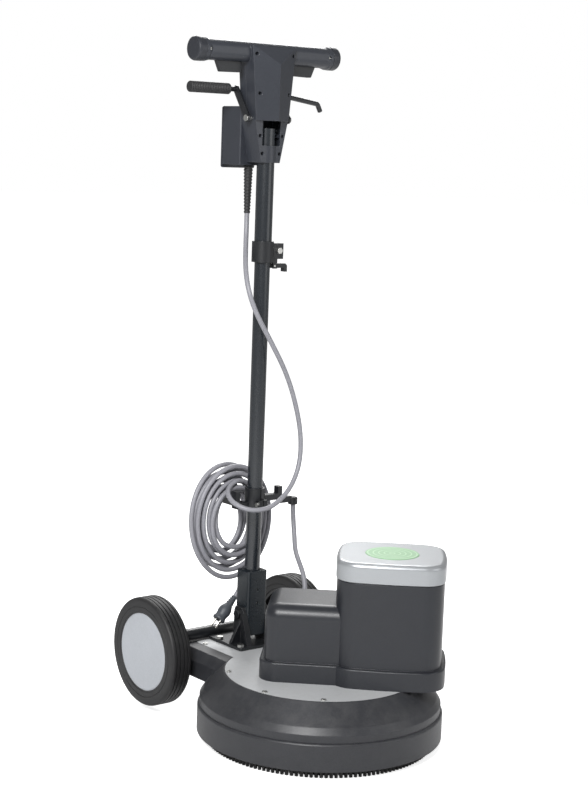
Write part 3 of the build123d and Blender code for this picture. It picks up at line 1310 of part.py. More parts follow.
# -------------------------------------------------------------------- switch box
BOX_FRONT_Y = BRUSH_Y + COLUMN_REAR + FIT
BOX_BACK_Y = BRUSH_Y + BOX_BACK
BOX_LID_T = 3.0
BOX_LIP = 6.0
RELIEF_X = -8.0
RELIEF_Y = BRUSH_Y + 264.0
RELIEF_R = 6.3
RELIEF_BOTTOM = 970.0
box_centre_y = (BOX_FRONT_Y + BOX_BACK_Y) / 2
with BuildPart() as switch_box:
    with BuildSketch(Plane((0, box_centre_y, BOX_BOTTOM))):
        RectangleRounded(2 * BOX_HALF, BOX_BACK_Y - BOX_FRONT_Y, 3)
    extrude(amount=BOX_TOP - BOX_BOTTOM)
    hollow_back = BOX_BACK_Y - BOX_FRONT_Y - 2.5
    with BuildSketch(Plane((0, BOX_BACK_Y - hollow_back / 2, BOX_BOTTOM + 2.5))):
        Rectangle(2 * BOX_HALF - 5, hollow_back + 0.02)
    extrude(amount=BOX_TOP - BOX_BOTTOM - 5, mode=Mode.SUBTRACT)
    with BuildSketch(Plane((RELIEF_X, RELIEF_Y, BOX_BOTTOM - 1))):
        Circle(RELIEF_R + FIT)
    extrude(amount=6, mode=Mode.SUBTRACT)
write_piece("switch_box", switch_box)

BOX_SCREW_SPOTS = [(x, z) for x in (-32, 32) for z in (BOX_BOTTOM + 10, BOX_TOP - 10)]
with BuildPart() as switch_box_lid:
    with BuildSketch(Plane(origin=(0, BOX_BACK_Y + FIT, (BOX_TOP + BOX_BOTTOM) / 2 - BOX_LIP / 2),
                           x_dir=(-1, 0, 0), z_dir=(0, 1, 0))):
        RectangleRounded(2 * BOX_HALF, BOX_TOP - BOX_BOTTOM + BOX_LIP, 4)
    extrude(amount=BOX_LID_T)
    fillet(switch_box_lid.faces().sort_by(Axis.Y)[-1].edges(), 1)
    with Locations(*[Location((x, BOX_BACK_Y, z), (90, 0, 0)) for x, z in BOX_SCREW_SPOTS]):
        Hole(1.6, depth=20)
write_piece("switch_box_lid", switch_box_lid)

box_screw_planes = [
    Plane(origin=(x, BOX_BACK_Y + FIT + BOX_LID_T, z), x_dir=(-1, 0, 0), z_dir=(0, 1, 0))
    for x, z in BOX_SCREW_SPOTS
]
with BuildPart() as handle_screws:
    add(screws(head_screw_planes, POST_BORE - FIT / 3, 20, POST_R - 1.3, 2).part)
    add(screws(box_screw_planes, 1.5, BOX_LID_T, 3, 1.6).part)
    add(bolts([clamp_bolt_plane], 3, 25, 6.5, 5).part)
    # the clamp lever's pin
    pin_half = LEVER_HALF + CLEAR + EAR_T
    with BuildSketch(Plane(origin=(0, POLE_Y + pin_half, 0), x_dir=(1, 0, 0), z_dir=(0, -1, 0))):
        with Locations(LEVER_PIN):
            Circle(LEVER_PIN_HOLE)
    extrude(amount=2 * pin_half)
write_piece("handle_screws", handle_screws)

CONTACTOR_Y = 42.0
with BuildPart() as switches:
    # contactor in the box, and a small switch over each trigger
    with BuildSketch(Plane((8, BOX_BACK_Y + FIT - CONTACTOR_Y / 2, BOX_BOTTOM + 30))):
        Rectangle(44, CONTACTOR_Y)
    extrude(amount=58)
    with BuildSketch(Plane((0, BAR_Y, SWITCH_BOTTOM))):
        with Locations((-66, 0), (66, 0)):
            Rectangle(20, 7)
    extrude(amount=BAR_Z + BAR_HIGH / 2 - HEAD_WALL - FIT - SWITCH_BOTTOM)
write_piece("switches", switches)

cord_relief = turned(RELIEF_X, RELIEF_Y, [
    (CORD_D / 2 + FIT, RELIEF_BOTTOM), (RELIEF_R - 1, RELIEF_BOTTOM), (RELIEF_R, RELIEF_BOTTOM + 60),
    (RELIEF_R, BOX_BOTTOM + 4), (RELIEF_R + 3, BOX_BOTTOM + 4), (RELIEF_R + 3, BOX_BOTTOM + 8),
    (CORD_D / 2 + FIT, BOX_BOTTOM + 8),
])
write_piece("cord_relief", cord_relief)

# --------------------------------------------------------------------- cords
COIL_X = -29.0
COIL_Z = 373.0
COIL_HALF_X = 107.0
COIL_HALF_Z = 123.5
COIL_HOLE_X = 18.0
COIL_HOLE_Z = 46.0
COIL_FRONT = BRUSH_Y + 243.0
COIL_T = 40.0
BEND_SHARE = 0.45


def cord_tube(points):
    """A cord along straight runs joined by tangent arcs as large as the runs allow."""
    points = [Vector(x, BRUSH_Y + back, z) for x, back, z in points]
    radii = []
    for before, corner, after in zip(points, points[1:], points[2:]):
        run_in = corner - before
        run_out = after - corner
        half_turn = radians(run_in.get_angle(run_out)) / 2
        radii.append(BEND_SHARE * min(run_in.length, run_out.length) / tan(half_turn))
    print("cord radii", [round(r) for r in radii])
    print("cord runs", [round((b - a).length) for a, b in zip(points, points[1:])])
    with BuildPart() as tube:
        with BuildLine() as route:
            FilletPolyline(*points, radius=radii)
        with BuildSketch(Plane(origin=points[0], z_dir=points[1] - points[0])):
            Circle(CORD_D / 2)
        sweep(path=route.wires()[0])
    length = route.wires()[0].length
    print("cord length", round(length), "volume ratio", tube.part.volume / (pi * CORD_D ** 2 / 4 * length))
    return tube


# (across, behind the brush axis, height)
POWER_ROUTE = [
    (RELIEF_X, 264, RELIEF_BOTTOM + 20), (RELIEF_X, 264, 945), (-22, 246, 905), (-46, 213, 868),
    (-55, 190, 830), (-44, 180, 789), (-5, 182, 734), (38.5, 187, 673), (68, 191, 613), (86, 190, 545),
    (81, 184, 485), (49, 174, 438), (-2, 165, 411), (-44, 169, 412), (-73, 190, 428), (-78, 241.8, 440),
]
TAIL_ROUTE = [(6, 262, 254.4), (6, 261, 240), (-1, 260.5, 225), (-11, 260, 215)]
MOTOR_ROUTE = [
    (CLIP_X, POLE_BACK, CLIP_Z + 6), (CLIP_X + 1, 219, 370), (92, 207, 337), (78, 186, 314), (61, 152, 300),
    (52, 126, 283), (49, 114, 256),
]
gland_end = GLAND_PLANE.offset(22).origin
MOTOR_ROUTE.append((gland_end.X, gland_end.Y - BRUSH_Y, gland_end.Z))

write_piece("power_cord", cord_tube(POWER_ROUTE))
write_piece("cord_tail", cord_tube(TAIL_ROUTE))
write_piece("motor_cord", cord_tube(MOTOR_ROUTE))

with BuildPart() as cord_coil:
    with BuildSketch(Plane(origin=(COIL_X, COIL_FRONT, COIL_Z), x_dir=(1, 0, 0), z_dir=(0, 1, 0))):
        Ellipse(COIL_HALF_X, COIL_HALF_Z)
        Ellipse(COIL_HOLE_X, COIL_HOLE_Z, mode=Mode.SUBTRACT)
    extrude(amount=COIL_T)
write_piece("cord_coil", cord_coil)

# The mains plug hangs at the end of the tail, with its relief, body and two pins in line.
PLUG_R = 13.0
plug_start = Vector(TAIL_ROUTE[-1]) + Vector(0, BRUSH_Y, 0)
PLUG_AIM = (Vector(TAIL_ROUTE[-1]) - Vector(TAIL_ROUTE[-2])).normalized()
plug_plane = Plane(origin=plug_start, x_dir=(0, 1, 0), z_dir=PLUG_AIM)
with BuildPart() as mains_plug:
    with BuildSketch(plug_plane):
        Circle(CORD_D / 2 + 1.2)
    with BuildSketch(plug_plane.offset(22)):
        Circle(8)
    with BuildSketch(plug_plane.offset(36)):
        Circle(PLUG_R)
    loft(ruled=True)
    with BuildSketch(plug_plane.offset(36)):
        Circle(PLUG_R)
    extrude(amount=22)
    with BuildSketch(plug_plane.offset(58)):
        with Locations((7.5, 0), (-7.5, 0)):
            Circle(2.4)
    extrude(amount=18)
write_piece("mains_plug", mains_plug)
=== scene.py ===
from math import cos, pi, radians, sin

import bmesh
import bpy
from mathutils import Matrix, Vector


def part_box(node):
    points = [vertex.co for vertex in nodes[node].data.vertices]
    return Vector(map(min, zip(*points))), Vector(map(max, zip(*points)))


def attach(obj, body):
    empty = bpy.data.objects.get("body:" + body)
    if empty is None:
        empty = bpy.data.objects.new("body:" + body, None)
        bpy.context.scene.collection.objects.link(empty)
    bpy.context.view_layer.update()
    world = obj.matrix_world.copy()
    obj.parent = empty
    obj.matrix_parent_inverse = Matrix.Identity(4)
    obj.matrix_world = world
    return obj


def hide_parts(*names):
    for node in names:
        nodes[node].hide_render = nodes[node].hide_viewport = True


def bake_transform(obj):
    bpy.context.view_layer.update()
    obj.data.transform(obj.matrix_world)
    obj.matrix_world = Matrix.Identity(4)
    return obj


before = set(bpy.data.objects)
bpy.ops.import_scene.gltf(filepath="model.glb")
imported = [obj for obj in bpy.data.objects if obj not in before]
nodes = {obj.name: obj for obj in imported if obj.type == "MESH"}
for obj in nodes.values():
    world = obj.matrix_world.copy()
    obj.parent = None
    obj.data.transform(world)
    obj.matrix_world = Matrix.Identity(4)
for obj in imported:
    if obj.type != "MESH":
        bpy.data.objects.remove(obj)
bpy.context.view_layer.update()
MM = 0.001

# ------------------------------------------------------------------ camera and studio
# A long lens stands to the left front at chest height and looks a little down, with a
# slight roll.  The floor is one pale sheet, lit by three soft boxes and a white sky.
CAMERA_PLACE = Vector((-1.9957, -2.4559, 1.0925))
CAMERA_YAW = 0.679
CAMERA_PITCH = 0.145
CAMERA_ROLL = 0.036
CAMERA_LENS = 76.8

forward = Vector((
    sin(CAMERA_YAW) * cos(CAMERA_PITCH), cos(CAMERA_YAW) * cos(CAMERA_PITCH), -sin(CAMERA_PITCH),
))
level_right = Vector((cos(CAMERA_YAW), -sin(CAMERA_YAW), 0))
level_up = level_right.cross(forward)
camera_right = level_right * cos(CAMERA_ROLL) + level_up * sin(CAMERA_ROLL)
camera_up = level_up * cos(CAMERA_ROLL) - level_right * sin(CAMERA_ROLL)
camera = bpy.data.objects.new("camera", bpy.data.cameras.new("camera"))
camera.data.lens = CAMERA_LENS
camera.matrix_world = Matrix.Translation(CAMERA_PLACE) @ Matrix(
    (camera_right, camera_up, -forward)
).transposed().to_4x4()
bpy.context.scene.collection.objects.link(camera)
bpy.context.scene.camera = camera
bpy.context.scene.view_settings.view_transform = "Standard"


def soft_box(name, place, target, size, watts):
    """An area light that looks at a point."""
    light = bpy.data.lights.new(name, "AREA")
    light.size = size
    light.energy = watts
    holder = bpy.data.objects.new(name, light)
    holder.location = place
    holder.rotation_euler = (Vector(target) - Vector(place)).to_track_quat("-Z", "Y").to_euler()
    bpy.context.scene.collection.objects.link(holder)


soft_box("key_light", (-2.3, -1.7, 2.4), (0, 0, 0.6), 1.2, 125)
soft_box("fill_light", (1.6, -2.8, 1.5), (0, 0, 0.5), 2.0, 18)
soft_box("back_light", (1.5, 2.2, 2.4), (0, 0, 0.7), 1.6, 60)


def wire(tree, kind, inputs=None, **settings):
    """Add one node to a tree, with its settings, values and links."""
    made = tree.nodes.new(kind)
    for name, value in settings.items():
        setattr(made, name, value)
    for name, value in (inputs or {}).items():
        if isinstance(value, bpy.types.NodeSocket):
            tree.links.new(value, made.inputs[name])
        else:
            made.inputs[name].default_value = value
    return made


def glow_for_camera(tree, strength, lighting, seen):
    """Give a light or a glow one strength on other things and another to the camera."""
    camera_ray = wire(tree, "ShaderNodeLightPath").outputs["Is Camera Ray"]
    mixed = wire(tree, "ShaderNodeMapRange", {"Value": camera_ray, "To Min": lighting, "To Max": seen})
    tree.links.new(mixed.outputs["Result"], strength)


# The sky lights softly, and is seen as plain white.
SKY_LIGHT = 0.34
SKY_SEEN = 1.0
world = bpy.data.worlds.new("white_sky")
world.use_nodes = True
sky = world.node_tree.nodes["Background"]
sky.inputs["Color"].default_value = (1, 1, 1, 1)
glow_for_camera(world.node_tree, sky.inputs["Strength"], SKY_LIGHT, SKY_SEEN)
bpy.context.scene.world = world

# The floor glows for the camera alone, so that it meets the sky without a line.
FLOOR_HALF = 30.0
FLOOR_GLOW = 0.75
floor_mesh = bpy.data.meshes.new("studio_floor")
floor_corners = [(x * FLOOR_HALF, y * FLOOR_HALF, 0) for x, y in ((-1, -1), (1, -1), (1, 1), (-1, 1))]
floor_mesh.from_pydata(floor_corners, [], [(0, 1, 2, 3)])
floor = bpy.data.objects.new("studio_floor", floor_mesh)
bpy.context.scene.collection.objects.link(floor)
floor_paint = bpy.data.materials.new("pale_floor")
floor_paint.use_nodes = True
floor_shader = floor_paint.node_tree.nodes["Principled BSDF"]
floor_shader.inputs["Base Color"].default_value = (0.93, 0.93, 0.93, 1)
floor_shader.inputs["Roughness"].default_value = 0.95
floor_shader.inputs["Emission Color"].default_value = (1, 1, 1, 1)
glow_for_camera(floor_paint.node_tree, floor_shader.inputs["Emission Strength"], 0.0, FLOOR_GLOW)
floor_mesh.materials.append(floor_paint)


# ----------------------------------------------------------------------- mains cord
# One grey rubber cord runs from the switch box down the handle, is wound a dozen times
# on the hanger, and ends in its plug.  The turns lie in four layers, one behind another,
# and each layer shifts and wanders a little, as a hand-wound coil does.


def middle(name):
    """The middle of a CAD piece's box, to a tenth of a millimetre."""
    low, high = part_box(name)
    return [round((a + b) / 2, 4) for a, b in zip(low, high)]


def group_tree(name, kind, inputs, outputs):
    """An empty node group with its named sockets, its start and its end."""
    tree = bpy.data.node_groups.new(name, kind)
    for label, socket, value in inputs:
        tree.interface.new_socket(label, in_out="INPUT", socket_type=socket).default_value = value
    for label, socket in outputs:
        tree.interface.new_socket(label, in_out="OUTPUT", socket_type=socket)
    return tree, tree.nodes.new("NodeGroupInput").outputs, tree.nodes.new("NodeGroupOutput").inputs


# Moulded grain: small pebbles of one size and a slow drift of tone, in object space.
grain_group, grain_in, grain_out = group_tree(
    "moulded_grain", "ShaderNodeTree",
    [("Pebbles per metre", "NodeSocketFloat", 900.0), ("Patches per metre", "NodeSocketFloat", 9.0)],
    [("Height", "NodeSocketFloat"), ("Tone", "NodeSocketFloat")],
)
place = wire(grain_group, "ShaderNodeTexCoord").outputs["Object"]
pebbles = wire(grain_group, "ShaderNodeTexVoronoi", {
    "Vector": place, "Scale": grain_in["Pebbles per metre"], "Smoothness": 0.6,
}, feature="SMOOTH_F1")
patches = wire(grain_group, "ShaderNodeTexNoise", {
    "Vector": place, "Scale": grain_in["Patches per metre"], "Detail": 5.0, "Roughness": 0.6,
})
speckle = wire(grain_group, "ShaderNodeTexNoise", {"Vector": place, "Scale": 420.0, "Detail": 2.0})
tone = wire(grain_group, "ShaderNodeMath", {
    0: patches.outputs["Fac"], 1: speckle.outputs["Fac"],
}, operation="ADD")
half_tone = wire(grain_group, "ShaderNodeMath", {0: tone.outputs[0], 1: 0.5}, operation="MULTIPLY")
grain_group.links.new(pebbles.outputs["Distance"], grain_out["Height"])
grain_group.links.new(half_tone.outputs[0], grain_out["Tone"])

# Rounded edges: the soft normal of a moulded corner, and a mask of where hands and
# floors have rubbed it.
edge_group, edge_in, edge_out = group_tree(
    "rubbed_edge", "ShaderNodeTree",
    [("Radius", "NodeSocketFloat", 0.0015)],
    [("Normal", "NodeSocketVector"), ("Mask", "NodeSocketFloat")],
)
round_edge = wire(edge_group, "ShaderNodeBevel", {"Radius": edge_in["Radius"]}, samples=4)
flat_normal = wire(edge_group, "ShaderNodeNewGeometry").outputs["Normal"]
facing = wire(edge_group, "ShaderNodeVectorMath", {
    0: round_edge.outputs["Normal"], 1: flat_normal,
}, operation="DOT_PRODUCT")
turned_away = wire(edge_group, "ShaderNodeMapRange", {
    "Value": facing.outputs["Value"], "From Min": 0.995, "From Max": 0.80, "To Min": 0.0, "To Max": 1.0,
})
rub = wire(edge_group, "ShaderNodeTexNoise", {
    "Vector": wire(edge_group, "ShaderNodeTexCoord").outputs["Object"], "Scale": 70.0, "Detail": 4.0,
})
patchy = wire(edge_group, "ShaderNodeMapRange", {
    "Value": rub.outputs["Fac"], "From Min": 0.38, "From Max": 0.62, "To Min": 0.15, "To Max": 1.0,
})
edge_mask = wire(edge_group, "ShaderNodeMath", {
    0: turned_away.outputs["Result"], 1: patchy.outputs["Result"],
}, operation="MULTIPLY")
edge_group.links.new(round_edge.outputs["Normal"], edge_out["Normal"])
edge_group.links.new(edge_mask.outputs[0], edge_out["Mask"])

# Dust: what settles on faces that look up, thicker near the floor.
dust_group, dust_in, dust_out = group_tree(
    "settled_dust", "ShaderNodeTree",
    [("Reach", "NodeSocketFloat", 0.3)],
    [("Mask", "NodeSocketFloat")],
)
dust_place = wire(dust_group, "ShaderNodeTexCoord").outputs["Object"]
height = wire(dust_group, "ShaderNodeSeparateXYZ", {"Vector": dust_place}).outputs["Z"]
low = wire(dust_group, "ShaderNodeMapRange", {
    "Value": height, "From Min": 0.0, "From Max": dust_in["Reach"], "To Min": 1.0, "To Max": 0.25,
})
looks_up = wire(dust_group, "ShaderNodeSeparateXYZ", {
    "Vector": wire(dust_group, "ShaderNodeNewGeometry").outputs["Normal"],
}).outputs["Z"]
upward = wire(dust_group, "ShaderNodeMapRange", {
    "Value": looks_up, "From Min": 0.2, "From Max": 1.0, "To Min": 0.12, "To Max": 1.0,
})
clumps = wire(dust_group, "ShaderNodeTexNoise", {
    "Vector": dust_place, "Scale": 38.0, "Detail": 8.0, "Roughness": 0.7,
})
clump_mask = wire(dust_group, "ShaderNodeMapRange", {
    "Value": clumps.outputs["Fac"], "From Min": 0.4, "From Max": 0.7, "To Min": 0.0, "To Max": 1.0,
})
low_up = wire(dust_group, "ShaderNodeMath", {
    0: low.outputs["Result"], 1: upward.outputs["Result"],
}, operation="MULTIPLY")
dust_mask = wire(dust_group, "ShaderNodeMath", {
    0: low_up.outputs[0], 1: clump_mask.outputs["Result"],
}, operation="MULTIPLY")
dust_group.links.new(dust_mask.outputs[0], dust_out["Mask"])

DUST_COLOUR = (0.36, 0.35, 0.33, 1)


def use_group(tree, group, values):
    """Place a shader group in a material with its own values."""
    made = tree.nodes.new("ShaderNodeGroup")
    made.node_tree = group
    for name, value in values.items():
        made.inputs[name].default_value = value
    return made.outputs


def surface(
    name, colour, roughness, tone=0.15, metallic=0.0, pebbles=900.0, relief=0.00004,
    edge=0.0012, wear=0.0, worn=(0.3, 0.3, 0.3), dust=0.0, coat=0.0,
):
    """A finish made from its colour, grain, rubbed edges and dust.  Lengths are in metres."""
    material = bpy.data.materials.new(name)
    material.use_nodes = True
    tree = material.node_tree
    shader = tree.nodes["Principled BSDF"]
    grain = use_group(tree, grain_group, {"Pebbles per metre": pebbles})
    corner = use_group(tree, edge_group, {"Radius": edge})
    drift = wire(tree, "ShaderNodeMapRange", {
        "Value": grain["Tone"], "From Min": 0.3, "From Max": 0.7, "To Min": 1 - tone, "To Max": 1 + tone,
    }).outputs["Result"]
    tinted = wire(tree, "ShaderNodeVectorMath", {0: colour, 1: drift}, operation="MULTIPLY").outputs[0]
    wear_share = wire(tree, "ShaderNodeMath", {0: corner["Mask"], 1: wear}, operation="MULTIPLY").outputs[0]
    rubbed = wire(tree, "ShaderNodeMix", {
        0: wear_share, 6: tinted, 7: (*worn, 1),
    }, data_type="RGBA").outputs[2]
    settled = use_group(tree, dust_group, {})
    dust_share = wire(tree, "ShaderNodeMath", {0: settled["Mask"], 1: dust}, operation="MULTIPLY").outputs[0]
    dusted = wire(tree, "ShaderNodeMix", {
        0: dust_share, 6: rubbed, 7: DUST_COLOUR,
    }, data_type="RGBA").outputs[2]
    rough = wire(tree, "ShaderNodeMapRange", {
        "Value": grain["Tone"], "From Min": 0.3, "From Max": 0.7,
        "To Min": max(roughness - 0.07, 0.02), "To Max": min(roughness + 0.07, 1.0),
    }).outputs["Result"]
    rough_dust = wire(tree, "ShaderNodeMath", {
        0: dust_share, 1: rough,
    }, operation="ADD", use_clamp=True).outputs[0]
    bump = wire(tree, "ShaderNodeBump", {
        "Height": grain["Height"], "Distance": relief, "Strength": 1.0, "Normal": corner["Normal"],
    }).outputs["Normal"]
    tree.links.new(dusted, shader.inputs["Base Color"])
    tree.links.new(rough_dust, shader.inputs["Roughness"])
    tree.links.new(bump, shader.inputs["Normal"])
    shader.inputs["Metallic"].default_value = metallic
    shader.inputs["Coat Weight"].default_value = coat
    shader.inputs["Coat Roughness"].default_value = 0.25
    return material


def wear_finish(material, *names):
    """Give CAD pieces their finish."""
    for name in names:
        mesh = nodes[name].data
        mesh.materials.clear()
        mesh.materials.append(material)


def cord_line(name, points, smooth):
    """The points of one smooth curve whose control points are given, in metres."""
    curve = bpy.data.curves.new(name, "CURVE")
    curve.dimensions = "3D"
    curve.resolution_u = smooth
    spline = curve.splines.new("NURBS")
    spline.points.add(len(points) - 1)
    for point, place in zip(spline.points, points):
        point.co = (*place, 1)
    spline.order_u = 3
    spline.use_endpoint_u = True
    holder = bpy.data.objects.new(name, curve)
    line = bpy.data.meshes.new_from_object(holder)
    path = [vertex.co.copy() for vertex in line.vertices]
    bpy.data.objects.remove(holder)
    bpy.data.meshes.remove(line)
    bpy.data.curves.remove(curve)
    return path


def smooth_mesh(name, vertices, faces, sharp=35):
    """A mesh object with smooth shading that breaks at sharp corners."""
    mesh = bpy.data.meshes.new(name)
    mesh.from_pydata(vertices, [], faces)
    mesh.shade_smooth()
    mesh.set_sharp_from_angle(angle=radians(sharp))
    made = bpy.data.objects.new(name, mesh)
    bpy.context.scene.collection.objects.link(made)
    return made


CORD_D = 0.0095
CORD_SIDES = 12


def cord_tube(name, path):
    """A round cord along a line of points, closed at both ends."""
    vertices = []
    side = Vector((1, 0, 0))
    for index, place in enumerate(path):
        ahead = path[min(index + 1, len(path) - 1)] - path[max(index - 1, 0)]
        ahead.normalize()
        side = (side - ahead * side.dot(ahead)).normalized()
        other = ahead.cross(side)
        for step in range(CORD_SIDES):
            turn = 2 * pi * step / CORD_SIDES
            vertices.append(place + (side * cos(turn) + other * sin(turn)) * CORD_D / 2)
    faces = []
    for index in range(len(path) - 1):
        for step in range(CORD_SIDES):
            after = (step + 1) % CORD_SIDES
            near, far = index * CORD_SIDES, (index + 1) * CORD_SIDES
            faces.append((near + step, near + after, far + after, far + step))
    last = (len(path) - 1) * CORD_SIDES
    faces.append(tuple(reversed(range(CORD_SIDES))))
    faces.append(tuple(range(last, last + CORD_SIDES)))
    return smooth_mesh(name, vertices, faces)


BRUSH_BACK = middle("lower_skirt")[1]

# (across, behind the brush axis, height), in millimetres
POWER_ROUTE = [
    (-8, 264, 990), (-8, 264, 945), (-22, 246, 905), (-46, 213, 868), (-55, 190, 830),
    (-44, 180, 789), (-5, 182, 734), (38.5, 187, 673), (68, 191, 613), (86, 190, 545),
    (81, 184, 485), (49, 174, 438), (-2, 165, 411), (-38, 169, 408), (-58, 185, 413),
    (-67, 207, 423), (-61, 229, 435), (-43, 244, 446),
]
TAIL_ROUTE = [(8, 265, 258), (3, 262, 240), (-1, 260.5, 225), (-11, 260, 215)]
COIL_CENTRE = (-25.5, 373)
COIL_HALF = (98.5, 118.6)
POINTS_PER_TURN = 14
COIL_START = radians(110)
# Each layer: depth behind the brush axis, first and last size, turns, first and last
# sideways shift, and where its wander begins
COIL_LAYERS = [
    (248.2, 0.70, 0.48, 1.6, 0, 4, 0.4),
    (258.2, 0.48, 0.985, 4.0, 4, 0, 2.2),
    (278.0, 0.98, 0.48, 3.6, 0, -13, 5.1),
    (268.2, 0.48, 0.93, 3.28, -13, 0, 3.6),
]
LAYER_STEPS = 7
WANDER = 0.020
FINE_WANDER = 0.008


def coil_points():
    """The turns of the coil, wound clockwise as seen from the front."""
    points = []
    turned_so_far = 0.0
    depth_before = COIL_LAYERS[0][0]
    for depth, first, last, turns, shift_first, shift_last, phase in COIL_LAYERS:
        steps = round(turns * POINTS_PER_TURN)
        for step in range(1, steps + 1):
            share = step / steps
            moved = min(step / LAYER_STEPS, 1.0)
            moved = moved * moved * (3 - 2 * moved)
            angle = COIL_START - 2 * pi * (turned_so_far + turns * share)
            wander = moved * (WANDER * sin(angle + phase) + FINE_WANDER * sin(2 * angle + 2 * phase))
            size = min(first + (last - first) * share + wander, 1.0)
            shift = shift_first + (shift_last - shift_first) * share
            points.append((
                COIL_CENTRE[0] + shift + COIL_HALF[0] * size * cos(angle),
                depth_before + (depth - depth_before) * moved,
                COIL_CENTRE[1] + COIL_HALF[1] * size * sin(angle),
            ))
        turned_so_far += turns
        depth_before = depth
    return points


def metres(route):
    """A route's points in metres in the machine's own frame."""
    return [Vector((x * MM, BRUSH_BACK + back * MM, z * MM)) for x, back, z in route]


cord_grey = surface(
    "cord_grey", (0.25, 0.25, 0.275), 0.42, tone=0.12, pebbles=1500, relief=0.00001, edge=0.0003, dust=0.15,
)
mains_path = cord_line("mains_line", metres(POWER_ROUTE + coil_points() + TAIL_ROUTE), smooth=8)
mains_cord = cord_tube("mains_cord", mains_path)
mains_cord.data.materials.append(cord_grey)
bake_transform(mains_cord)
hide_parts("power_cord", "cord_coil", "cord_tail")


# ------------------------------------------------------- plug and strain reliefs
# The plug is one moulding of grey rubber: a ribbed relief, a waisted body with a flange,
# and two round pins.  The switch box's relief is a black ribbed sleeve.  One tree makes
# every ribbed sleeve, by changing a tube's radius along its length.
sleeve_tree, sleeve_in, sleeve_out = group_tree(
    "ribbed_sleeve", "GeometryNodeTree",
    [
        ("Start", "NodeSocketVector", (0, 0, 0)), ("End", "NodeSocketVector", (0, 0, 0.1)),
        ("Start radius", "NodeSocketFloat", 0.01), ("End radius", "NodeSocketFloat", 0.01),
        ("Ribs", "NodeSocketInt", 12), ("Rib depth", "NodeSocketFloat", 0.001),
        ("Material", "NodeSocketMaterial", None),
    ],
    [("Geometry", "NodeSocketGeometry")],
)
STEPS_PER_RIB = 8
SLEEVE_SIDES = 28
RIB_FLANK = 0.35
sleeve_line = wire(sleeve_tree, "GeometryNodeCurvePrimitiveLine", {
    "Start": sleeve_in["Start"], "End": sleeve_in["End"],
})
sleeve_count = wire(sleeve_tree, "ShaderNodeMath", {
    0: sleeve_in["Ribs"], 1: STEPS_PER_RIB,
}, operation="MULTIPLY")
sleeve_points = wire(sleeve_tree, "GeometryNodeResampleCurve", {
    "Curve": sleeve_line.outputs["Curve"],
    "Count": wire(sleeve_tree, "ShaderNodeMath", {0: sleeve_count.outputs[0], 1: 1.0}).outputs[0],
})
along = wire(sleeve_tree, "GeometryNodeSplineParameter").outputs["Factor"]
taper = wire(sleeve_tree, "ShaderNodeMapRange", {
    "Value": along, "To Min": sleeve_in["Start radius"], "To Max": sleeve_in["End radius"],
}).outputs["Result"]
rib_turn = wire(sleeve_tree, "ShaderNodeMath", {
    0: wire(sleeve_tree, "ShaderNodeMath", {0: along, 1: sleeve_in["Ribs"]}, operation="MULTIPLY").outputs[0],
    1: 2 * pi,
}, operation="MULTIPLY").outputs[0]
rib_wave = wire(sleeve_tree, "ShaderNodeMath", {0: rib_turn}, operation="COSINE").outputs[0]
rib_swell = wire(sleeve_tree, "ShaderNodeMapRange", {
    "Value": rib_wave, "From Min": -RIB_FLANK, "From Max": RIB_FLANK, "To Min": 0.0, "To Max": 1.0,
}).outputs["Result"]
rib_height = wire(sleeve_tree, "ShaderNodeMath", {
    0: rib_swell, 1: sleeve_in["Rib depth"],
}, operation="MULTIPLY").outputs[0]
sleeve_radius = wire(sleeve_tree, "ShaderNodeMath", {
    0: taper, 1: rib_height,
}, operation="SUBTRACT").outputs[0]
sleeve_ring = wire(sleeve_tree, "GeometryNodeCurvePrimitiveCircle", {
    "Resolution": SLEEVE_SIDES, "Radius": 1.0,
})
sleeve_skin = wire(sleeve_tree, "GeometryNodeCurveToMesh", {
    "Curve": sleeve_points.outputs["Curve"], "Profile Curve": sleeve_ring.outputs["Curve"],
    "Scale": sleeve_radius, "Fill Caps": True,
})
sleeve_solid = wire(sleeve_tree, "GeometryNodeRealizeInstances", {"Geometry": sleeve_skin.outputs["Mesh"]})
sleeve_dressed = wire(sleeve_tree, "GeometryNodeSetMaterial", {
    "Geometry": sleeve_solid.outputs["Geometry"], "Material": sleeve_in["Material"],
})
sleeve_tree.links.new(sleeve_dressed.outputs["Geometry"], sleeve_out["Geometry"])


def grown(name, tree, values, material, sharp=40):
    """Run a geometry tree with its own values and keep the plain mesh it makes."""
    holder = bpy.data.objects.new(name, bpy.data.meshes.new(name))
    bpy.context.scene.collection.objects.link(holder)
    modifier = holder.modifiers.new("shape", "NODES")
    modifier.node_group = tree
    values = {**values, "Material": material}
    for item in tree.interface.items_tree:
        if item.in_out == "INPUT" and item.name in values:
            modifier[item.identifier] = values[item.name]
    bpy.context.view_layer.update()
    ready = holder.evaluated_get(bpy.context.evaluated_depsgraph_get())
    mesh = bpy.data.meshes.new_from_object(ready)
    holder.modifiers.remove(modifier)
    holder.data = mesh
    mesh.name = name
    mesh.shade_smooth()
    mesh.set_sharp_from_angle(angle=radians(sharp))
    return holder


def lathe(name, outline, origin, direction, steps, material, sharp=35):
    """A closed (along, radius) outline turned about a line; lengths in metres."""
    direction = Vector(direction).normalized()
    side = direction.orthogonal().normalized()
    other = direction.cross(side)
    vertices = []
    for step in range(steps):
        turn = 2 * pi * step / steps
        out = side * cos(turn) + other * sin(turn)
        vertices += [Vector(origin) + direction * along_it + out * radius for along_it, radius in outline]
    count = len(outline)
    faces = [
        (a * count + k, a * count + (k + 1) % count, b * count + (k + 1) % count, b * count + k)
        for a, b in ((step, (step + 1) % steps) for step in range(steps)) for k in range(count)
    ]
    made = smooth_mesh(name, vertices, faces, sharp)
    shape = bmesh.new()
    shape.from_mesh(made.data)
    bmesh.ops.recalc_face_normals(shape, faces=shape.faces)
    shape.to_mesh(made.data)
    shape.free()
    made.data.materials.append(material)
    return made


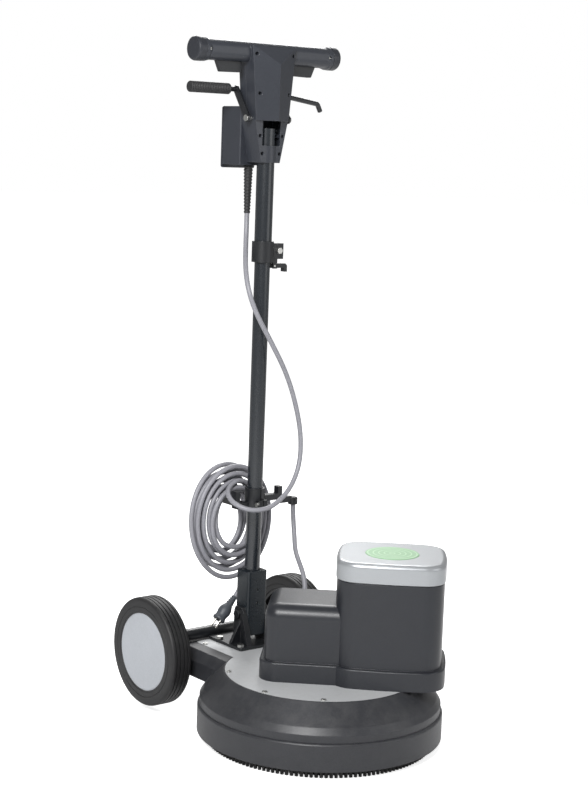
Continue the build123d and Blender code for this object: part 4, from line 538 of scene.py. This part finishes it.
def joined(name, pieces):
    """Several objects of one body as one piece."""
    with bpy.context.temp_override(
        active_object=pieces[0], object=pieces[0], selected_objects=pieces, selected_editable_objects=pieces,
    ):
        bpy.ops.object.join()
    pieces[0].name = name
    return pieces[0]


def half_size(name):
    """Half of a CAD piece's box each way, to a tenth of a millimetre."""
    low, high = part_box(name)
    return [round((b - a) / 2, 4) for a, b in zip(low, high)]


black_rubber = surface(
    "black_rubber", (0.018, 0.018, 0.019), 0.6, tone=0.2, pebbles=1400, relief=0.00003, edge=0.0005,
    wear=0.2, worn=(0.06, 0.06, 0.06), dust=0.1,
)
# The ribbed sleeve ends a little below the top of the CAD piece.
RELIEF_SHORTER = 0.008
relief_x, relief_y, relief_z = middle("cord_relief")
relief_half = half_size("cord_relief")[2]
relief = grown("box_relief", sleeve_tree, {
    "Start": (relief_x, relief_y, relief_z + relief_half - RELIEF_SHORTER),
    "End": (relief_x, relief_y, relief_z - relief_half),
    "Start radius": 0.0091, "End radius": 0.0062, "Ribs": 15, "Rib depth": 0.0011,
}, black_rubber)
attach(relief, "handle_upper")
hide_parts("cord_relief")

plug_grey = surface(
    "plug_grey", (0.06, 0.068, 0.080), 0.45, tone=0.15, pebbles=1200, relief=0.00003, edge=0.0008,
    wear=0.25, worn=(0.25, 0.25, 0.26), dust=0.15,
)
plug_end, plug_before = metres(TAIL_ROUTE)[-1], metres(TAIL_ROUTE)[-2]
plug_aim = (plug_end - plug_before).normalized()
PLUG_RELIEF = 0.024
plug_neck = grown("plug_neck", sleeve_tree, {
    "Start": tuple(plug_end), "End": tuple(plug_end + plug_aim * PLUG_RELIEF),
    "Start radius": 0.0060, "End radius": 0.0084, "Ribs": 5, "Rib depth": 0.0013,
}, plug_grey)
# (from the relief's cord end, radius): the plug's body, its waist and its flange
PLUG_OUTLINE = [
    (0.023, 0.001), (0.023, 0.0085), (0.027, 0.0105), (0.031, 0.0122), (0.035, 0.0129), (0.040, 0.0128),
    (0.0445, 0.0116), (0.049, 0.0112), (0.052, 0.0121), (0.0535, 0.0129), (0.0565, 0.0129), (0.0578, 0.0120),
    (0.058, 0.001),
]
PLUG_SIDES = 36
plug_body = lathe("plug_body", PLUG_OUTLINE, plug_end, plug_aim, PLUG_SIDES, plug_grey)
plug_shell = joined("plug_moulding", [plug_body, plug_neck])
pin_steel = surface(
    "pin_steel", (0.62, 0.60, 0.56), 0.28, tone=0.06, metallic=1.0, pebbles=2500, relief=0.000004,
    edge=0.0003,
)
PIN_SPREAD = 0.0075
PIN_R = 0.0024
PIN_SIDES = 16
PIN_CORE = 0.0001
PIN_OUTLINE = [
    (0.0575, PIN_CORE), (0.0575, PIN_R), (0.074, PIN_R), (0.0757, PIN_R * 0.6), (0.0759, PIN_CORE),
]
backward = Vector((0, 1, 0))
pin_side = (backward - plug_aim * backward.dot(plug_aim)).normalized()
plug_pins = joined("plug_contacts", [
    lathe(
        f"plug_contact_{side}", PIN_OUTLINE, plug_end + pin_side * PIN_SPREAD * side, plug_aim,
        PIN_SIDES, pin_steel,
    )
    for side in (-1, 1)
])
for piece in (plug_shell, plug_pins):
    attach(piece, "handle_lower")
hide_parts("mains_plug")
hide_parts("mains_plug")


# ----------------------------------------------------------------------- motor cord
# A short length of the same cord leaves the hanger's clip, hangs, and goes into the gland on the motor cover.
MOTOR_ROUTE = [
    (96, 221, 407), (97, 219, 370), (92, 207, 337), (78, 186, 314), (61, 152, 300), (52, 126, 283),
    (49, 114, 256), (31.7, 95.6, 229.6),
]
motor_path = cord_line("motor_line", metres(MOTOR_ROUTE), smooth=10)
motor_cord = cord_tube("motor_lead", motor_path)
motor_cord.data.materials.append(cord_grey)
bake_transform(motor_cord)
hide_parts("motor_cord")


# -------------------------------------------------------------------- brush bristles
# Tufts of stiff fibre stand in twelve rings on the brush back.  Each tuft is seven
# fibres, an upright one and six that lean outwards as they rise, and the outer ring
# shows below the skirt.
TUFT_H = 2 * half_size("brush_bristles")[2]
TUFT_PITCH = 0.0088
TUFT_RINGS = 12
FIRST_RING = 0.0745
LAST_RING = 0.2095
TUFT_LEAN = 0.05
TUFT_TWIST = 3.1
FIBRES_AROUND = 6
FIBRE_SIDES = 5
FIBRE_R = 0.00115
FIBRE_FLARE = 1.15
FIBRE_LEAN = radians(3.5)
FIBRE_SPREAD = 0.0021
SPOT_R = 0.00001
# The tips stand just clear of the floor, and the tufts are shorter than their space.
TIP_LIFT = 0.0004
TUFT_SHORTER = 0.001

tuft_tree, tuft_in, tuft_out = group_tree(
    "tuft_rings", "GeometryNodeTree",
    [
        ("Height", "NodeSocketFloat", TUFT_H), ("Pitch", "NodeSocketFloat", TUFT_PITCH),
        ("Centre", "NodeSocketVector", (0, 0, 0)), ("Seed", "NodeSocketInt", 3),
        ("Material", "NodeSocketMaterial", None),
    ],
    [("Geometry", "NodeSocketGeometry")],
)
fibre = wire(tuft_tree, "GeometryNodeMeshCone", {
    "Vertices": FIBRE_SIDES, "Radius Top": FIBRE_R * FIBRE_FLARE, "Radius Bottom": FIBRE_R,
    "Depth": tuft_in["Height"],
})
fibre_turned = wire(tuft_tree, "GeometryNodeTransform", {
    "Geometry": fibre.outputs["Mesh"], "Rotation": (0, FIBRE_LEAN, 0), "Translation": (FIBRE_SPREAD, 0, 0),
})
fibre_spots = wire(tuft_tree, "GeometryNodeMeshCircle", {"Vertices": FIBRES_AROUND, "Radius": SPOT_R})
fibre_turns = wire(tuft_tree, "ShaderNodeMath", {
    0: wire(tuft_tree, "GeometryNodeInputIndex").outputs["Index"], 1: 2 * pi / FIBRES_AROUND,
}, operation="MULTIPLY")
fibre_ring = wire(tuft_tree, "GeometryNodeInstanceOnPoints", {
    "Points": fibre_spots.outputs["Mesh"], "Instance": fibre_turned.outputs["Geometry"],
    "Rotation": wire(tuft_tree, "ShaderNodeCombineXYZ", {"Z": fibre_turns.outputs[0]}).outputs["Vector"],
})
tuft = wire(tuft_tree, "GeometryNodeJoinGeometry")
tuft_tree.links.new(fibre_ring.outputs["Instances"], tuft.inputs["Geometry"])
tuft_tree.links.new(fibre.outputs["Mesh"], tuft.inputs["Geometry"])
all_tufts = wire(tuft_tree, "GeometryNodeJoinGeometry")
for ring_index in range(TUFT_RINGS):
    ring_r = FIRST_RING + (LAST_RING - FIRST_RING) * ring_index / (TUFT_RINGS - 1)
    around = wire(tuft_tree, "ShaderNodeMath", {0: 2 * pi * ring_r, 1: tuft_in["Pitch"]}, operation="DIVIDE")
    spots = wire(tuft_tree, "GeometryNodeMeshCircle", {"Vertices": around.outputs[0], "Radius": ring_r})
    lean = wire(tuft_tree, "FunctionNodeRandomValue", {
        "Min": (-TUFT_LEAN, -TUFT_LEAN, 0.0), "Max": (TUFT_LEAN, TUFT_LEAN, TUFT_TWIST),
        "Seed": tuft_in["Seed"],
    }, data_type="FLOAT_VECTOR")
    standing = wire(tuft_tree, "GeometryNodeInstanceOnPoints", {
        "Points": spots.outputs["Mesh"], "Instance": tuft.outputs["Geometry"], "Rotation": lean.outputs[0],
    })
    tuft_tree.links.new(standing.outputs["Instances"], all_tufts.inputs["Geometry"])
tufts_placed = wire(tuft_tree, "GeometryNodeTransform", {
    "Geometry": all_tufts.outputs["Geometry"], "Translation": tuft_in["Centre"],
})
tufts_solid = wire(tuft_tree, "GeometryNodeRealizeInstances", {"Geometry": tufts_placed.outputs["Geometry"]})
tufts_dressed = wire(tuft_tree, "GeometryNodeSetMaterial", {
    "Geometry": tufts_solid.outputs["Geometry"], "Material": tuft_in["Material"],
})
tuft_tree.links.new(tufts_dressed.outputs["Geometry"], tuft_out["Geometry"])

fibre_black = surface(
    "fibre_black", (0.012, 0.012, 0.013), 0.5, tone=0.35, pebbles=600, relief=0.00003, edge=0.0002, dust=0.5,
)
bristles = grown("bristle_tufts", tuft_tree, {
    "Centre": (0, BRUSH_BACK, TIP_LIFT), "Height": TUFT_H - TUFT_SHORTER,
}, fibre_black)
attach(bristles, "brush")
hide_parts("brush_bristles")
block_black = surface("block_black", (0.03, 0.03, 0.031), 0.4, tone=0.1, wear=0.3, dust=0.3)
wear_finish(block_black, "brush_block", "drive_plate")


# -------------------------------------------------------------------------- housing
# The skirt and the upper casing are charcoal polyethylene mouldings with a pebbled
# grain.  The steel deck is painted silver grey and sits in a recess on top.
casing_plastic = surface(
    "casing_plastic", (0.023, 0.024, 0.028), 0.40, tone=0.22, pebbles=620, relief=0.00010, edge=0.003,
    wear=0.5, worn=(0.09, 0.09, 0.10), dust=0.10,
)
wear_finish(casing_plastic, "lower_skirt", "upper_casing")
deck_paint = surface(
    "deck_paint", (0.50, 0.51, 0.52), 0.42, tone=0.06, metallic=0.1, pebbles=1800, relief=0.00001,
    edge=0.001, wear=0.3, worn=(0.2, 0.2, 0.2), dust=0.25,
)
wear_finish(deck_paint, "deck_plate")


# ---------------------------------------------------------------------- motor cover
# A charcoal cover in two heights stands over the belt and the motor.  Its silver lid
# lifts off, and a plain green disc is let into the lid.
cover_plastic = surface(
    "cover_plastic", (0.014, 0.0155, 0.020), 0.36, tone=0.16, pebbles=1100, relief=0.00005, edge=0.002,
    wear=0.4, worn=(0.09, 0.095, 0.11), dust=0.06,
)
wear_finish(cover_plastic, "motor_cover")
lid_silver = surface(
    "lid_silver", (0.36, 0.375, 0.39), 0.34, tone=0.04, metallic=0.5, pebbles=2200, relief=0.000012,
    edge=0.002, wear=0.15, worn=(0.75, 0.75, 0.75), dust=0.05, coat=0.3,
)
wear_finish(lid_silver, "motor_lid")
badge_green = surface(
    "badge_green", (0.22, 0.46, 0.22), 0.35, tone=0.08, pebbles=1500, relief=0.00001, edge=0.001, coat=0.4,
)
# fine pale rings stand on the green
BADGE_CENTRE = [(low + high) / 2 for low, high in zip(*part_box("lid_badge"))]
RINGS_PER_METRE = 62
RING_STRENGTH = 0.45
RING_GREEN = (0.62, 0.85, 0.60, 1)
badge_tree = badge_green.node_tree
badge_shader = next(node for node in badge_tree.nodes if node.type == "BSDF_PRINCIPLED")
badge_place = wire(badge_tree, "ShaderNodeMapping", {
    "Vector": wire(badge_tree, "ShaderNodeTexCoord").outputs["Object"],
    "Location": (-BADGE_CENTRE[0], -BADGE_CENTRE[1], 0),
})
badge_rings = wire(badge_tree, "ShaderNodeTexWave", {
    "Vector": badge_place.outputs["Vector"], "Scale": RINGS_PER_METRE / 2, "Distortion": 0.0,
}, wave_type="RINGS", rings_direction="Z")
badge_lines = wire(badge_tree, "ShaderNodeMapRange", {
    "Value": badge_rings.outputs["Fac"], "From Min": 0.82, "From Max": 0.98,
    "To Min": 0.0, "To Max": RING_STRENGTH,
})
badge_plain = badge_shader.inputs["Base Color"].links[0].from_socket
badge_mix = wire(badge_tree, "ShaderNodeMix", {
    0: badge_lines.outputs["Result"], 6: badge_plain, 7: RING_GREEN,
}, data_type="RGBA")
badge_tree.links.new(badge_mix.outputs[2], badge_shader.inputs["Base Color"])
wear_finish(badge_green, "lid_badge")
gland_black = surface("gland_black", (0.02, 0.02, 0.021), 0.4, tone=0.12, edge=0.0008, wear=0.3, dust=0.15)
wear_finish(gland_black, "motor_cord_gland")


# ----------------------------------------------------------------- motor and drive
# Inside: a cast motor with its rotor, fan, capacitors and mounting plate, and a belt
# drive to the spindle in its bearing housing.
cast_alloy = surface(
    "cast_alloy", (0.42, 0.42, 0.43), 0.5, tone=0.15, metallic=0.8, pebbles=1500, relief=0.00004, dust=0.15,
)
wear_finish(cast_alloy, "motor_can", "bearing_housing", "driven_pulley", "motor_pulley")
bright_steel = surface(
    "bright_steel", (0.60, 0.60, 0.60), 0.3, tone=0.08, metallic=1.0, pebbles=2500, relief=0.000005,
    edge=0.0004,
)
wear_finish(bright_steel, "motor_plate", "bearings", "brush_spindle", "motor_rotor")
varnished_copper = surface(
    "varnished_copper", (0.30, 0.13, 0.06), 0.4, tone=0.3, metallic=0.6, pebbles=900, relief=0.0001,
)
wear_finish(varnished_copper, "motor_stator")
belt_rubber = surface("belt_rubber", (0.02, 0.02, 0.02), 0.7, tone=0.2, pebbles=1800, relief=0.00003)
wear_finish(belt_rubber, "drive_belt")
inner_plastic = surface("inner_plastic", (0.05, 0.05, 0.052), 0.45, tone=0.12)
wear_finish(inner_plastic, "electrics", "motor_fan", "switches")


# --------------------------------------------------------------------------- wheels
# Solid black rubber tyres with four grooves round the tread run on moulded hubs, and a
# pale painted disc closes each hub.
tyre_rubber = surface(
    "tyre_rubber", (0.010, 0.010, 0.011), 0.55, tone=0.3, pebbles=800, relief=0.00005, edge=0.0008,
    wear=0.35, worn=(0.035, 0.035, 0.037), dust=0.14,
)
TYRE_HALF, TYRE_R = half_size("tyre_left")[:2]
TYRE_SEAT = 0.0782
TYRE_STEPS = 120
SEAT_BEVEL = 0.001
WALL_GROOVE_FROM = 0.087
WALL_GROOVE_TO = 0.0896
WALL_GROOVE_FLANK = 0.0006
WALL_GROOVE_DEPTH = 0.0008
GROOVES = (-0.0125, -0.0045, 0.0045, 0.0125)
GROOVE_HALF = 0.0011
GROOVE_DEPTH = 0.0028
GROOVE_NARROWING = 0.7
SHOULDER = 0.006
SHOULDER_STEPS = 4


def tyre_outline():
    """Across the tyre: seat, walls with a shallow groove, round shoulders and the grooved tread."""
    wall_groove = -TYRE_HALF + WALL_GROOVE_DEPTH
    outline = [
        (-TYRE_HALF + SEAT_BEVEL, TYRE_SEAT), (-TYRE_HALF, TYRE_SEAT + SEAT_BEVEL),
        (-TYRE_HALF, WALL_GROOVE_FROM), (wall_groove, WALL_GROOVE_FROM + WALL_GROOVE_FLANK),
        (wall_groove, WALL_GROOVE_TO - WALL_GROOVE_FLANK), (-TYRE_HALF, WALL_GROOVE_TO),
    ]
    for step in range(SHOULDER_STEPS + 1):
        turn = pi / 2 * step / SHOULDER_STEPS
        outline.append((
            -TYRE_HALF + SHOULDER * (1 - cos(turn)), TYRE_R - SHOULDER * (1 - sin(turn)),
        ))
    half = list(outline)
    floor_half = GROOVE_HALF * GROOVE_NARROWING
    for groove in GROOVES:
        outline += [
            (groove - GROOVE_HALF, TYRE_R), (groove - floor_half, TYRE_R - GROOVE_DEPTH),
            (groove + floor_half, TYRE_R - GROOVE_DEPTH), (groove + GROOVE_HALF, TYRE_R),
        ]
    outline += [(-along_it, radius) for along_it, radius in reversed(half)]
    return outline


hub_plastic = surface("hub_plastic", (0.012, 0.012, 0.013), 0.45, tone=0.15, wear=0.3, dust=0.3)
disc_paint = surface(
    "disc_paint", (0.40, 0.42, 0.45), 0.45, tone=0.10, metallic=0.1, pebbles=1600, relief=0.00002,
    edge=0.001, wear=0.2, worn=(0.3, 0.3, 0.3), dust=0.3,
)
for side_name in ("left", "right"):
    tyre = lathe(
        f"grooved_tyre_{side_name}", tyre_outline(), middle(f"tyre_{side_name}"), (1, 0, 0),
        TYRE_STEPS, tyre_rubber, sharp=28,
    )
    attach(tyre, f"wheel_{side_name}")
    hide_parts(f"tyre_{side_name}")
    wear_finish(hub_plastic, f"wheel_hub_{side_name}")
    wear_finish(disc_paint, f"wheel_disc_{side_name}")


# ----------------------------------------------------------- rear frame and handle foot
# Black powder-coated steel: the cross tube, its plates, and the bracket that the
# handle's sleeve turns in.  Screws and bolts are bright zinc, and the pivot bolt is black.
black_paint = surface(
    "black_paint", (0.008, 0.009, 0.011), 0.34, tone=0.2, pebbles=1500, relief=0.00003, edge=0.0012,
    wear=0.5, worn=(0.07, 0.07, 0.075), dust=0.06, coat=0.15,
)
wear_finish(black_paint, "cross_tube", "axle_plates", "handle_bracket", "pivot_bolt")
zinc = surface(
    "zinc", (0.58, 0.58, 0.56), 0.35, tone=0.12, metallic=1.0, pebbles=2200, relief=0.00001, edge=0.0004,
)
wear_finish(zinc, "wheel_axle", "deck_fasteners", "pole_bolts", "handle_screws", "control_pins")
sleeve_plastic = surface(
    "sleeve_plastic", (0.010, 0.014, 0.018), 0.30, tone=0.14, pebbles=1200, relief=0.00003, edge=0.002,
    wear=0.35, worn=(0.06, 0.07, 0.08), dust=0.04,
)
wear_finish(sleeve_plastic, "handle_sleeve")


# ----------------------------------------------------------------------------- pole
# Two steel tubes, one inside the other, in slate-coloured gloss paint, with a nylon
# clamp between them and the cord hanger lower down.
pole_paint = surface(
    "pole_paint", (0.011, 0.014, 0.018), 0.24, tone=0.04, pebbles=2500, relief=0.0000015,
    edge=0.0008, wear=0.3, worn=(0.08, 0.09, 0.10), dust=0.02, coat=0.5,
)
wear_finish(pole_paint, "lower_tube", "upper_tube")
nylon = surface(
    "nylon", (0.010, 0.011, 0.013), 0.40, tone=0.15, pebbles=1200, relief=0.00003, edge=0.0012,
    wear=0.3, worn=(0.07, 0.07, 0.075), dust=0.1,
)
wear_finish(nylon, "cord_hanger", "tube_clamp", "clamp_lever")


# --------------------------------------------------------------------- handle head
# Two charcoal shells screwed together form the grip bar and the column.  The switch box
# is fixed behind, black triggers hang in the bar, and two levers pivot on the column.
head_plastic = surface(
    "head_plastic", (0.028, 0.031, 0.039), 0.34, tone=0.14, pebbles=1300, relief=0.00005, edge=0.002,
    wear=0.45, worn=(0.10, 0.105, 0.12), dust=0.05,
)
wear_finish(head_plastic, "head_front_shell", "head_rear_shell", "switch_box", "switch_box_lid")
cap_plastic = surface(
    "cap_plastic", (0.020, 0.022, 0.028), 0.38, tone=0.14, pebbles=1300, relief=0.00004, edge=0.0025,
    wear=0.4, worn=(0.10, 0.105, 0.115), dust=0.04,
)
wear_finish(cap_plastic, "bar_caps")
wear_finish(nylon, "trigger_left", "trigger_right")
wear_finish(black_paint, "lever_left", "lever_right")
GRIP_R = 0.0104
grip_x, grip_y, grip_z = middle("lever_grip")
grip_half = half_size("lever_grip")[0]
grip = grown("lever_rubber", sleeve_tree, {
    "Start": (grip_x + grip_half, grip_y, grip_z), "End": (grip_x - grip_half, grip_y, grip_z),
    "Start radius": GRIP_R, "End radius": GRIP_R, "Ribs": 24, "Rib depth": 0.0009,
}, black_rubber)
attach(grip, "lever_left")
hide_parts("lever_grip")
